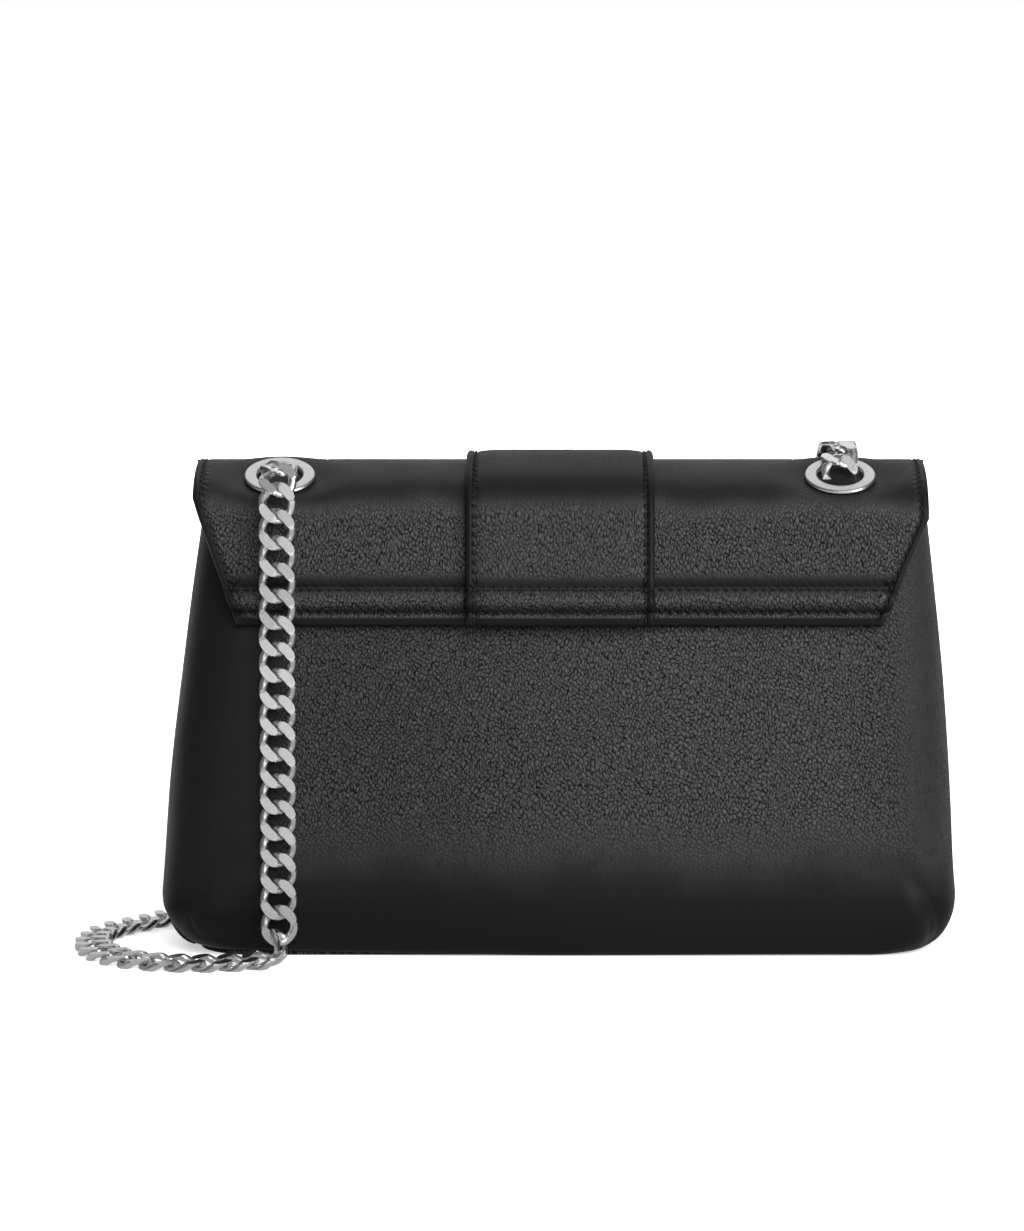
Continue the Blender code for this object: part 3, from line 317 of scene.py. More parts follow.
def lathe(name: str, profile: list, place: Matrix, sides: int) -> bpy.types.Object:
    """Turn a profile of radius and height round Z of a place.

    Args:
        name: Name of the object.
        profile: Closed list of (radius, height), outer side first.
        place: Where the turned piece stands.
        sides: Number of sides of the circle.

    Returns:
        The object.
    """
    angles = np.linspace(0.0, 2.0 * math.pi, sides, endpoint=False)
    radius = np.array([point[0] for point in profile])
    height = np.array([point[1] for point in profile])
    points = np.stack([np.outer(np.cos(angles), radius), np.outer(np.sin(angles), radius),
                       np.tile(height, (sides, 1))], axis=-1)
    count = len(profile)
    index = np.arange(sides * count).reshape(sides, count)
    after = np.roll(index, -1, axis=0)
    faces = np.stack([index, np.roll(index, -1, axis=1), np.roll(after, -1, axis=1), after], axis=-1)
    flat = points.reshape(-1, 3)
    turned = np.array(place.to_3x3()) @ flat.T
    made = add_mesh(name, turned.T + np.array(place.translation), faces.reshape(-1, 4).tolist(), sharp=35.0)
    return face_outwards(made)


def rounded_profile(corners: list, radius: float, steps: int) -> list:
    """Round the corners of a closed profile.

    Args:
        corners: List of (radius, height).
        radius: Radius of the rounding.
        steps: Points on each rounded corner.

    Returns:
        The rounded profile.
    """
    rounded = []
    count = len(corners)
    for number in range(count):
        before = Vector(corners[number - 1])
        middle = Vector(corners[number])
        after = Vector(corners[(number + 1) % count])
        reach = min(radius, (before - middle).length * 0.45, (after - middle).length * 0.45)
        start = middle + (before - middle).normalized() * reach
        end = middle + (after - middle).normalized() * reach
        for step in range(steps):
            share = step / (steps - 1)
            rounded.append(tuple(start.lerp(middle, share).lerp(middle.lerp(end, share), share)))
    return rounded


# Forms


@dataclass(frozen=True)
class BodyForm:
    """Outer face of the body.

    A place round it goes from 0 to 8: rear left corner, back, rear right corner, right gusset, then the
    same again from the front right corner.
    """

    base_width: float = 0.2376
    base_depth: float = 0.0640
    sole_seam: float = 0.0019
    width: float = 0.2610
    depth: float = 0.0800
    widest: float = 0.0200
    mouth_width: float = 0.2390
    mouth_depth: float = 0.0570
    mouth_height: float = 0.1380
    corner: float = 0.0180
    belly: float = 0.0025
    belly_top: float = 0.1060
    lean: float = 0.65
    turn_start: float = math.radians(10.0)
    back_rim: float = 0.1380
    front_rim: float = 0.1280
    side_rim: float = 0.1500
    fold_depth: float = 0.0030
    fold_share: float = 0.20
    seam_share: float = 0.08
    facing_height: float = 0.0200
    sway: float = 0.0013
    sway_heights: tuple = (0.050, 0.140)

    def half_sizes(self, height):
        """Half width and half depth at a height.

        Args:
            height: Height above the floor, a number or an array.

        Returns:
            The half width and the half depth.
        """
        cosine = 1.0 - np.clip(height / self.widest, 0.0, 1.0)
        start = math.sin(self.turn_start)
        share = (np.sqrt(1.0 - cosine * cosine) - start) / (1.0 - start)
        climb = (height - self.widest) / (self.mouth_height - self.widest)
        lean = self.lean * climb + (1.0 - self.lean) * climb * climb
        low = np.asarray(height) < self.widest
        wide = np.where(low, mix(self.base_width / 2 + self.sole_seam, self.width / 2, share),
                        mix(self.width, self.mouth_width, lean) / 2)
        deep = np.where(low, mix(self.base_depth / 2 + self.sole_seam, self.depth / 2, share),
                        mix(self.depth, self.mouth_depth, lean) / 2)
        return wide, deep

    def surface(self, place, height) -> np.ndarray:
        """Points of the outer face.

        Args:
            place: Places round the body.
            height: Heights.

        Returns:
            Array of points.
        """
        wide, deep = self.half_sizes(height)
        around = np.mod(place, 8.0)
        front = around > 4.0
        local = np.where(front, around - 4.0, around)
        radius = self.corner
        first = math.pi / 2 * local
        second = math.pi / 2 * (3.0 - local)
        flat = np.clip(local - 1.0, 0.0, 1.0)
        belly = np.where(height > self.belly_top, 0.0, self.belly * 4.0 * flat * (1.0 - flat)
                         * np.sin(math.pi * np.clip(height / self.belly_top, 0.0, 1.0)))
        across = local - 3.0
        folded = np.clip((across - self.fold_share) / (1.0 - 2.0 * self.fold_share), 0.0, 1.0)
        fold = self.fold_depth * ease(height / self.side_rim) * np.sin(math.pi * folded) ** 2
        kind = [local <= 1.0, local <= 2.0, local <= 3.0]
        x = np.select(kind, [-(wide - radius) - radius * np.cos(first), (2.0 * flat - 1.0) * (wide - radius),
                             (wide - radius) + radius * np.cos(second)], wide - fold)
        y = np.select(kind, [-(deep - radius) - radius * np.sin(first), -deep - belly,
                             -(deep - radius) - radius * np.sin(second)],
                      (2.0 * across - 1.0) * (deep - radius))
        turn = np.where(front, -1.0, 1.0)
        sway = self.sway * ramp(np.asarray(height), *self.sway_heights)
        return np.stack([turn * x + sway, turn * y, height + 0.0 * x], axis=-1)

    def normal(self, place, height) -> np.ndarray:
        """Outward normals of the outer face.

        Args:
            place: Places round the body.
            height: Heights.

        Returns:
            Array of unit vectors.
        """
        step = 2e-5
        across = self.surface(place + step, height) - self.surface(place - step, height)
        along = self.surface(place, height + step) - self.surface(place, height - step)
        return unit(np.cross(across, along))

    def rim(self, place):
        """Height of the upper edge.

        Args:
            place: Places round the body.

        Returns:
            The heights.
        """
        rims = np.array([self.side_rim, self.back_rim, self.back_rim, self.side_rim, self.side_rim,
                         self.front_rim, self.front_rim, self.side_rim, self.side_rim])
        around = np.mod(place, 8.0)
        whole = np.floor(around).astype(int)
        return mix(rims[whole], rims[whole + 1], ease(around - whole))

    def turn_height(self, share):
        """Height on the turned lower edge.

        Args:
            share: Share of the turn, from 0 at its lower end.

        Returns:
            The height.
        """
        return self.widest * (1.0 - np.cos(mix(self.turn_start, math.pi / 2, share)))


@dataclass(frozen=True)
class DomeForm:
    """Outer face of the yoke and the flap, as a run up the back, over the ridge and down the front."""

    depth: float = 0.0660
    base_height: float = 0.1425
    rise: float = 0.0175
    hem_height: float = 0.1092
    half_width: float = 0.1205
    hem_half_width: float = 0.1050
    diagonal_top: float = 0.1440
    roll_low: float = 0.0044
    roll_high: float = 0.0120
    roll_rise: float = 0.0030
    shoulder_hem: float = 0.1180
    flap_hem: float = 0.0580
    flap_half_width: float = 0.0805
    flap_hem_half_width: float = 0.0720
    flap_diagonal_top: float = 0.0900
    slot: float = 0.0810
    stack: float = 0.0037
    shoulder_stack: float = 0.0038
    flap_stack: float = 0.0123
    eyelet_half_spacing: float = 0.0915
    eyelet_behind: float = 0.0175
    flat_reach: float = 0.0095
    blend_reach: float = 0.0250
    hold_height: float = 0.02
    eyelet_tilt: float = math.radians(5.0)
    eyelet_sink: float = 0.0017
    worn_left: tuple = (0.1195, 0.1504)
    worn_right: tuple = (0.1198, 0.1440)
    # Painted shade: the smooth band at the top of the yoke also darkens the colour, as the leather turns up
    # towards the ridge.
    top_calm_and_shade: float = 0.68
    top_calm_and_shade_heights: tuple = (0.1425, 0.1545)
    bend_calm_and_shade: float = 0.24
    bend_height: float = 0.1510
    bend_width: float = 0.0100

    def front_hem(self, front: Front) -> tuple:
        """Depth and height of a front hem.

        Args:
            front: What the hem belongs to.

        Returns:
            The depth and the height.
        """
        body = BodyForm()
        if front is Front.FLAP:
            return float(body.half_sizes(self.flap_hem)[1]) + self.flap_stack, self.flap_hem
        return float(body.half_sizes(self.shoulder_hem)[1]) + self.shoulder_stack, self.shoulder_hem

    def profile(self, run, front: Front, rolled: bool = True) -> np.ndarray:
        """Depth and height along the run.

        Args:
            run: 0 to 1 up the back, 1 to 2 over the ridge, 2 to 3 down the front.
            front: What the front hem belongs to.
            rolled: Whether the padded roll stands out.

        Returns:
            Array of (y, z).
        """
        half = self.depth / 2
        rear = float(BodyForm().half_sizes(self.hem_height)[1]) + self.stack
        climb = np.clip(run, -1.0, 1.0)
        height = mix(self.hem_height, self.base_height, climb)
        share = (height - self.hem_height - self.roll_low) / (self.roll_high - self.roll_low)
        swell = self.roll_rise * np.sin(math.pi * np.clip(share, 0.0, 1.0)) if rolled else 0.0
        angle = math.pi * np.clip(run - 1.0, 0.0, 1.0)
        hem_depth, hem_height = self.front_hem(front)
        down = run - 2.0
        kind = [run <= 1.0, run <= 2.0]
        y = np.select(kind, [-(mix(rear, half, climb) + swell), -half * np.cos(angle)],
                      mix(half, hem_depth, down))
        z = np.select(kind, [height, self.base_height + self.rise * np.sin(angle)],
                      mix(self.base_height, hem_height, down))
        return np.stack([y, z], axis=-1)

    def normal(self, run, front: Front, rolled: bool = True) -> np.ndarray:
        """Outward normals along the run, as (y, z).

        Args:
            run: Runs.
            front: What the front hem belongs to.
            rolled: Whether the padded roll stands out.

        Returns:
            Array of unit vectors.
        """
        step = 2e-5
        along = self.profile(run + step, front, rolled) - self.profile(run - step, front, rolled)
        return unit(np.stack([-along[..., 1], along[..., 0]], axis=-1))

    def run_at_depth(self, depth: float) -> float:
        """Run over the ridge at a distance from its middle.

        Args:
            depth: Distance, positive towards the front.

        Returns:
            The run.
        """
        return 1.0 + math.acos(-depth / (self.depth / 2)) / math.pi

    def eyelet_place(self, side: Side) -> Matrix:
        """Place of an eyelet, with Z out of the leather.

        Args:
            side: Which eyelet.

        Returns:
            The place as a matrix.
        """
        run = np.array(self.run_at_depth(-self.eyelet_behind))
        y, z = self.profile(run, Front.FLAP)
        normal = Vector((0.0, *self.normal(run, Front.FLAP)))
        normal.rotate(Matrix.Rotation(self.eyelet_tilt, 3, "X"))
        across = Vector((1.0, 0.0, 0.0))
        place = Matrix((across, normal.cross(across), normal)).transposed().to_4x4()
        place.translation = (side.value * self.eyelet_half_spacing, y, z - self.eyelet_sink)
        return place

    def point(self, x, run, lift, front: Front, rolled: bool = True) -> tuple:
        """Points on the dome and their normals, drawn flat under the eyelets.

        Args:
            x: Places across.
            run: Runs.
            lift: How far each point stands out of the face.
            front: What the front hem belongs to.
            rolled: Whether the padded roll stands out.

        Returns:
            The points and the normals.
        """
        x, run, lift = np.broadcast_arrays(np.asarray(x, float), np.asarray(run, float),
                                           np.asarray(lift, float))
        yz = self.profile(run, front, rolled)
        tilt = self.normal(run, front, False)
        points = np.concatenate([x[..., None], yz], axis=-1)
        normals = np.concatenate([np.zeros_like(x)[..., None], tilt], axis=-1)
        for side in Side:
            place = np.array(self.eyelet_place(side))
            axes, centre = place[:3, :3], place[:3, 3]
            local = (points - centre) @ axes
            reach = np.hypot(local[..., 0], local[..., 1])
            hold = 1.0 - ramp(reach, self.flat_reach, self.blend_reach)
            hold = np.where(np.abs(local[..., 2]) < self.hold_height, hold, 0.0)[..., None]
            points = points - axes[:, 2] * local[..., 2:3] * hold
            normals = unit(mix(normals, axes[:, 2], hold))
        return self.worn(points + normals * lift[..., None]), normals

    def worn(self, points: np.ndarray) -> np.ndarray:
        """Draw the outer sides in a little, the left one more, as on a used bag.

        Args:
            points: Points on the dome.

        Returns:
            The moved points.
        """
        x, z = points[..., 0], points[..., 2]
        share = np.clip((z - self.hem_height) / (self.diagonal_top - self.hem_height), 0.0, 1.0)
        full = mix(self.hem_half_width, self.half_width, share)
        moved = np.abs(x)
        for side, (half, top) in ((-1.0, self.worn_left), (1.0, self.worn_right)):
            share = np.clip((z - self.hem_height) / (top - self.hem_height), 0.0, 1.0)
            wanted = mix(self.hem_half_width, half, share)
            drawn = self.slot + (np.abs(x) - self.slot) * (wanted - self.slot) / (full - self.slot)
            moved = np.where(x * side > self.slot, drawn, moved)
        return np.stack([np.sign(x) * moved, points[..., 1], z], axis=-1)

    def calm_and_shade_at(self, height):
        """How smooth the grain is, and how much painted shade darkens it, where the leather bends towards the
        ridge.

        Args:
            height: Heights.

        Returns:
            The calmness, from 0 to 1.
        """
        top = self.top_calm_and_shade * ramp(height, *self.top_calm_and_shade_heights)
        return top + self.bend_calm_and_shade * ridge(height - self.bend_height, self.bend_width)

    def half_width_at(self, run):
        """Half width of the yoke.

        Args:
            run: Runs.

        Returns:
            The half widths.
        """
        height = self.profile(run, Front.SHOULDER, False)[..., 1]
        share = np.clip((height - self.hem_height) / (self.diagonal_top - self.hem_height), 0.0, 1.0)
        return mix(self.hem_half_width, self.half_width, share)

    def flap_half_width_at(self, run):
        """Half width of the flap.

        Args:
            run: Runs.

        Returns:
            The half widths.
        """
        height = self.profile(run, Front.FLAP, False)[..., 1]
        share = np.clip((height - self.flap_hem) / (self.flap_diagonal_top - self.flap_hem), 0.0, 1.0)
        return np.where(run > 2.0, mix(self.flap_hem_half_width, self.flap_half_width, share),
                        self.flap_half_width)


BODY = BodyForm()
DOME = DomeForm()


# Finishes


class Graph:
    """Small helper that adds nodes to a node tree."""

    def __init__(self, tree: bpy.types.NodeTree):
        """Keep the tree.

        Args:
            tree: Node tree to add to.
        """
        self.tree = tree

    def add(self, kind: str, settings: dict | None = None, **inputs):
        """Add a node, set its options and fill its inputs.

        Args:
            kind: Type name of the node.
            settings: Options of the node.
            inputs: Values or sockets by input name, with spaces as underscores, or by number as n0, n1.

        Returns:
            The node.
        """
        node = self.tree.nodes.new(kind)
        for key, value in (settings or {}).items():
            setattr(node, key, value)
        for key, value in inputs.items():
            slot = node.inputs[int(key[1:])] if key[0] == "n" and key[1:].isdigit() else \
                node.inputs[key.replace("_", " ")]
            if isinstance(value, bpy.types.NodeSocket):
                self.tree.links.new(value, slot)
            else:
                slot.default_value = value
        return node

    def math(self, operation: str, first, second=0.0, third=0.0):
        """Add a mathematics node.

        Args:
            operation: Its operation.
            first: First value or socket.
            second: Second value or socket.
            third: Third value or socket.

        Returns:
            Its output socket.
        """
        return self.add("ShaderNodeMath", {"operation": operation}, n0=first, n1=second, n2=third).outputs[0]

    def remap(self, value, low: float, high: float, to_low: float, to_high: float):
        """Add a smooth range.

        Args:
            value: Socket to map.
            low: Lower end of the value.
            high: Upper end of the value.
            to_low: Result at the lower end.
            to_high: Result at the upper end.

        Returns:
            Its output socket.
        """
        return self.add("ShaderNodeMapRange", {"interpolation_type": "SMOOTHSTEP"}, n0=value, n1=low, n2=high,
                        n3=to_low, n4=to_high).outputs[0]

    def colours(self, share, low, high):
        """Add a blend of two colours.

        Args:
            share: Share of the way, a number or a socket.
            low: Colour at share 0, three values or a socket.
            high: Colour at share 1.

        Returns:
            Its output socket.
        """
        first, last = (end if isinstance(end, bpy.types.NodeSocket) else (*end, 1.0) for end in (low, high))
        return self.add("ShaderNodeMix", {"data_type": "RGBA"}, n0=share, n6=first, n7=last).outputs[2]

    def values(self, share, low, high):
        """Add a blend of two values.

        Args:
            share: Share of the way, a number or a socket.
            low: Value at share 0.
            high: Value at share 1.

        Returns:
            Its output socket.
        """
        return self.add("ShaderNodeMix", {"data_type": "FLOAT"}, n0=share, n2=low, n3=high).outputs[0]

    def link(self, output, socket) -> None:
        """Link an output to an input.

        Args:
            output: Output socket.
            socket: Input socket.
        """
        self.tree.links.new(output, socket)


def new_material(name: str) -> tuple:
    """Make a material with its plain surface shader.

    Args:
        name: Name of the material.

    Returns:
        The material, its graph and its shader node.
    """
    material = bpy.data.materials.new(name)
    material.use_nodes = True
    return material, Graph(material.node_tree), material.node_tree.nodes["Principled BSDF"]


def new_group(name: str, inputs: list, outputs: list) -> tuple:
    """Make an empty shader node group.

    Args:
        name: Name of the group.
        inputs: (name, socket type, default) of each input.
        outputs: (name, socket type) of each output.

    Returns:
        The group, its graph, its input node and its output node.
    """
    tree = bpy.data.node_groups.new(name, "ShaderNodeTree")
    for label, kind, default in inputs:
        socket = tree.interface.new_socket(label, in_out="INPUT", socket_type=kind)
        if default is not None:
            socket.default_value = default
    for label, kind in outputs:
        tree.interface.new_socket(label, in_out="OUTPUT", socket_type=kind)
    graph = Graph(tree)
    return tree, graph, graph.add("NodeGroupInput"), graph.add("NodeGroupOutput")


@dataclass(frozen=True)
class Grain:
    """Pebbled grain of the leather: scales per metre or per pebble, and shares of the full depth."""

    pebble: float = 0.00138
    broad_scale: float = 45.0
    broad_reach: float = 0.0050
    fine_scale: float = 430.0
    fine_reach: float = 0.0010
    slant: float = 0.55
    stretch: tuple = (1.14, 0.84, 1.0)
    cell_weight: float = 0.60
    dome_width: float = 0.40
    crease_width: float = 0.30
    stroke_scale: float = 1.30
    stroke_range: tuple = (0.33, 0.67)
    stroke_weight: float = 0.40
    depth_scale: float = 330.0
    depth_range: tuple = (0.92, 1.10)
    fold_scale: float = 0.30
    fold_width: float = 0.045
    fold_patch_scale: float = 150.0
    fold_depth: float = 0.45
    ragged_scale: float = 120.0
    ragged: float = 0.12
    wrinkle_scale: float = 950.0
    wrinkle_stretch: float = 0.20
    wrinkle_depths: tuple = (0.30, 0.05)
    wrinkle_shade_range: tuple = (0.42, 0.25)
    wrinkle_shade_depth: float = 0.5

    def build(self) -> bpy.types.NodeTree:
        """Make the group that gives the height of the grain and the painted shade of its creases.

        Returns:
            The group, with a flow in metres and a calmness as inputs.
        """
        tree, graph, entry, leave = new_group(
            "pebbled grain",
            [("Flow", "NodeSocketVector", None), ("Calm", "NodeSocketFloat", 0.0),
             ("Pebble", "NodeSocketFloat", self.pebble)],
            [("Height", "NodeSocketFloat"), ("Crease", "NodeSocketFloat"), ("Calm", "NodeSocketFloat")])
        flow = entry.outputs["Flow"]
        per_metre = graph.math("DIVIDE", 1.0, entry.outputs["Pebble"])

        def noise(scale, detail=2.0, vector=flow):
            """Add plane noise."""
            return graph.add("ShaderNodeTexNoise", {"noise_dimensions": "2D"}, Vector=vector, Scale=scale,
                             Detail=detail, Roughness=0.55)

        def push(vector, cloud, reach):
            """Move a vector by coloured noise."""
            centred = graph.add("ShaderNodeVectorMath", {"operation": "SUBTRACT"}, n0=cloud.outputs["Color"],
                                n1=(0.5, 0.5, 0.5))
            return graph.add("ShaderNodeVectorMath", {"operation": "MULTIPLY_ADD"}, n0=centred.outputs[0],
                             n1=(reach, reach, 0.0), n2=vector).outputs[0]

        def cells(vector, scale, randomness):
            """Add the distance to the borders of irregular cells."""
            settings = {"feature": "DISTANCE_TO_EDGE", "voronoi_dimensions": "2D"}
            return graph.add("ShaderNodeTexVoronoi", settings, Vector=vector, Scale=scale,
                             Randomness=randomness).outputs["Distance"]

        bent = push(push(flow, noise(self.broad_scale, 1.0), self.broad_reach), noise(self.fine_scale),
                    self.fine_reach)
        slanted = graph.add("ShaderNodeMapping", Vector=bent, Rotation=(0.0, 0.0, self.slant),
                            Scale=self.stretch).outputs[0]
        pebbles = cells(slanted, per_metre, 0.80)
        folds = cells(bent, graph.math("MULTIPLY", per_metre, self.fold_scale), 1.0)
        strokes = noise(graph.math("MULTIPLY", per_metre, self.stroke_scale), 1.5, slanted)
        blob = graph.math("MULTIPLY", graph.remap(strokes.outputs[0], *self.stroke_range, 0.0, 1.0),
                          self.stroke_weight)
        dome = graph.math("MULTIPLY_ADD", graph.remap(pebbles, 0.0, self.dome_width, 0.0, 1.0),
                          self.cell_weight, blob)
        crease = graph.math("MULTIPLY_ADD", graph.remap(pebbles, 0.0, self.crease_width, 0.0, 1.0),
                            self.cell_weight, blob)
        depth = graph.remap(noise(self.depth_scale, 1.0).outputs[0], 0.30, 0.70, *self.depth_range)
        patches = graph.remap(noise(self.fold_patch_scale, 1.0).outputs[0], 0.50, 0.70, 0.0, self.fold_depth)
        long_fold = graph.math("MULTIPLY", graph.remap(folds, 0.0, self.fold_width, 1.0, 0.0), patches)

        centred = graph.math("SUBTRACT", noise(self.ragged_scale, 3.0).outputs[0], 0.5)
        ragged = graph.math("MULTIPLY_ADD", centred, self.ragged, entry.outputs["Calm"])
        calm = graph.remap(ragged, 0.02, 0.98, 0.0, 1.0)
        lively = graph.math("SUBTRACT", 1.0, calm)
        between = graph.math("MULTIPLY", graph.math("MULTIPLY", calm, lively), 4.0)

        upright = graph.add("ShaderNodeMapping", Vector=flow, Scale=(1.0, self.wrinkle_stretch, 1.0))
        wrinkle = noise(self.wrinkle_scale, 1.0, upright.outputs[0]).outputs[0]
        wrinkled = graph.math("MULTIPLY", wrinkle, graph.math("MULTIPLY_ADD", between, *self.wrinkle_depths))
        raised = graph.math("MULTIPLY", graph.math("MULTIPLY", dome, depth), lively)
        raised = graph.math("SUBTRACT", raised, graph.math("MULTIPLY", long_fold, lively))
        # Painted shade: creases, long folds and wrinkles darken the colour through the Crease output.
        creased = graph.math("MULTIPLY", graph.math("SUBTRACT", 1.0, crease), depth)
        dark = graph.math("MULTIPLY", graph.math("MAXIMUM", creased, long_fold), lively)
        wrinkle_shade = graph.math("MULTIPLY", graph.remap(wrinkle, *self.wrinkle_shade_range, 0.0, self.wrinkle_shade_depth),
                            between)
        graph.link(graph.math("ADD", raised, wrinkled), leave.inputs["Height"])
        graph.link(graph.math("SUBTRACT", 1.0, graph.math("MAXIMUM", dark, wrinkle_shade)), leave.inputs["Crease"])
        graph.link(calm, leave.inputs["Calm"])
        return tree


@dataclass(frozen=True)
class Puckers:
    """Pulled stitch holes and slanted puckers beside a seam, in metres."""

    pitch: float = 0.0030
    jitter: float = 0.0012
    jitter_scale: float = 330.0
    slant: float = 0.45
    hole_reach: tuple = (0.0002, 0.0012)
    pucker_depth: float = 0.5

    def build(self) -> bpy.types.NodeTree:
        """Make the group that gives the height of the holes and their painted shade.

        Returns:
            The group, with a seam vector of length along the row, distance from it and strength.
        """
        tree, graph, entry, leave = new_group(
            "stitch puckers",
            [("Seam", "NodeSocketVector", None), ("Flow", "NodeSocketVector", None),
             ("Pucker", "NodeSocketFloat", 0.0)],
            [("Height", "NodeSocketFloat"), ("Dark", "NodeSocketFloat")])
        length, apart, strength = graph.add("ShaderNodeSeparateXYZ", n0=entry.outputs["Seam"]).outputs
        noise = graph.add("ShaderNodeTexNoise", {"noise_dimensions": "2D"}, Vector=entry.outputs["Flow"],
                          Scale=self.jitter_scale, Detail=1.0)
        along = graph.math("ADD", length, graph.math("MULTIPLY", apart, self.slant))
        along = graph.math("ADD", along, graph.math("MULTIPLY", noise.outputs[0], self.jitter))
        turns = graph.math("MULTIPLY", graph.math("DIVIDE", along, self.pitch), 2.0 * math.pi)
        wave = graph.math("COSINE", turns)
        near = graph.remap(graph.math("ABSOLUTE", apart), *self.hole_reach, 1.0, 0.0)
        holes = graph.math("MULTIPLY", graph.remap(wave, 0.1, 0.9, 0.0, 1.0), near)
        holes = graph.math("MULTIPLY", holes, strength)
        puckers = graph.math("MULTIPLY", graph.math("MULTIPLY", wave, strength), entry.outputs["Pucker"])
        raised = graph.math("MULTIPLY", puckers, self.pucker_depth)
        graph.link(graph.math("SUBTRACT", raised, holes), leave.inputs["Height"])
        # Painted shade in the holes, given out as Dark.
        graph.link(holes, leave.inputs["Dark"])
        return tree


def shared_group(maker: Grain | Puckers, name: str) -> bpy.types.NodeTree:
    """Find a shared node group, or make it the first time.

    Args:
        maker: What makes the group.
        name: Name of the group.

    Returns:
        The group.
    """
    return bpy.data.node_groups.get(name) or maker.build()


@dataclass(frozen=True)
class LeatherFinish:
    """Black leather with a fine pebbled grain."""

    name: str = "black_leather"
    colour: tuple = (0.0700, 0.0700, 0.0705)
    # Painted shade: the dark that creases, stitch holes and the flow's third value draw the colour towards.
    painted_shade_colour: tuple = (0.0025, 0.0025, 0.0026)
    # Painted shade: the darker colour of the smooth zones, where the leather turns under or away from the
    # light.
    calm_shade_colour: tuple = (0.0080, 0.0080, 0.0082)
    roughness: float = 0.50
    crease_roughness: float = 0.85
    calm_roughness: float = 0.45
    patch_scale: float = 38.0
    patch_roughness: float = 0.04
    painted_hole_shade: float = 0.6
    shine: float = 0.14
    grain_depth: float = 0.00030
    seam_depth: float = 0.00022
    pebble: float = 0.00138

    def build(self) -> bpy.types.Material:
        """Make the material.

        Returns:
            The material.
        """
        material, graph, shader = new_material(self.name)
        flow = graph.add("ShaderNodeAttribute", {"attribute_name": "flow"}).outputs["Vector"]
        seam = graph.add("ShaderNodeAttribute", {"attribute_name": "seam"}).outputs["Vector"]
        calm = graph.add("ShaderNodeAttribute", {"attribute_name": "calm"}).outputs["Fac"]
        pucker = graph.add("ShaderNodeAttribute", {"attribute_name": "pucker"}).outputs["Fac"]
        grain = graph.add("ShaderNodeGroup", {"node_tree": shared_group(Grain(), "pebbled grain")},
                          Flow=flow, Calm=calm, Pebble=self.pebble).outputs
        sewn = graph.add("ShaderNodeGroup", {"node_tree": shared_group(Puckers(), "stitch puckers")},
                         Seam=seam, Flow=flow, Pucker=pucker).outputs
        # Painted shade: the smooth zones darken towards this darker colour.
        calm_shaded = graph.colours(grain["Calm"], self.colour, self.calm_shade_colour)
        # Painted shade in the grain's creases, folds and wrinkles.
        crease_shaded = graph.colours(grain["Crease"], self.painted_shade_colour, calm_shaded)
        # Painted shade in the stitch holes.
        holes = graph.math("MULTIPLY", sewn["Dark"], self.painted_hole_shade)
        colour = graph.colours(holes, crease_shaded, self.painted_shade_colour)
        # Painted shade from the flow's third value, on the body's sides and the band's top.
        shade = graph.add("ShaderNodeSeparateXYZ", n0=flow).outputs[2]
        smooth = graph.values(grain["Calm"], self.roughness, self.calm_roughness)
        rough = graph.values(grain["Crease"], self.crease_roughness, smooth)
        patches = graph.add("ShaderNodeTexNoise", {"noise_dimensions": "2D"}, Vector=flow,
                            Scale=self.patch_scale, Detail=4.0, Roughness=0.6).outputs[0]
        varied = graph.math("MULTIPLY_ADD", graph.remap(patches, 0.3, 0.7, -1.0, 1.0), self.patch_roughness,
                            rough)
        low = graph.add("ShaderNodeBump", Strength=1.0, Distance=self.seam_depth, Height=sewn["Height"])
        high = graph.add("ShaderNodeBump", Strength=1.0, Distance=self.grain_depth, Height=grain["Height"],
                         Normal=low.outputs[0])
        graph.link(graph.colours(shade, colour, self.painted_shade_colour), shader.inputs["Base Color"])
        graph.link(varied, shader.inputs["Roughness"])
        graph.link(high.outputs[0], shader.inputs["Normal"])
        shader.inputs["Specular IOR Level"].default_value = self.shine
        return material


@dataclass(frozen=True)
class SuedeFinish:
    """Dark napped lining."""

    name: str = "suede_lining"
    colour: tuple = (0.030, 0.027, 0.026)
    brushed: float = 1.7
    nap_scale: float = 1400.0
    nap_depth: float = 0.0002
    patch_scale: float = 45.0
    roughness: float = 0.92
    shine: float = 0.2

    def build(self) -> bpy.types.Material:
        """Make the material.

        Returns:
            The material.
        """
        material, graph, shader = new_material(self.name)
        place = graph.add("ShaderNodeTexCoord").outputs["Object"]
        nap = graph.add("ShaderNodeTexNoise", Vector=place, Scale=self.nap_scale, Detail=3.0)
        patch = graph.add("ShaderNodeTexNoise", Vector=place, Scale=self.patch_scale, Detail=3.0)
        light = tuple(value * self.brushed for value in self.colour)
        colour = graph.colours(graph.remap(patch.outputs[0], 0.35, 0.65, 0.0, 1.0), self.colour, light)
        bump = graph.add("ShaderNodeBump", Strength=0.6, Distance=self.nap_depth, Height=nap.outputs[0])
        graph.link(colour, shader.inputs["Base Color"])
        graph.link(bump.outputs[0], shader.inputs["Normal"])
        shader.inputs["Roughness"].default_value = self.roughness
        shader.inputs["Specular IOR Level"].default_value = self.shine
        return material


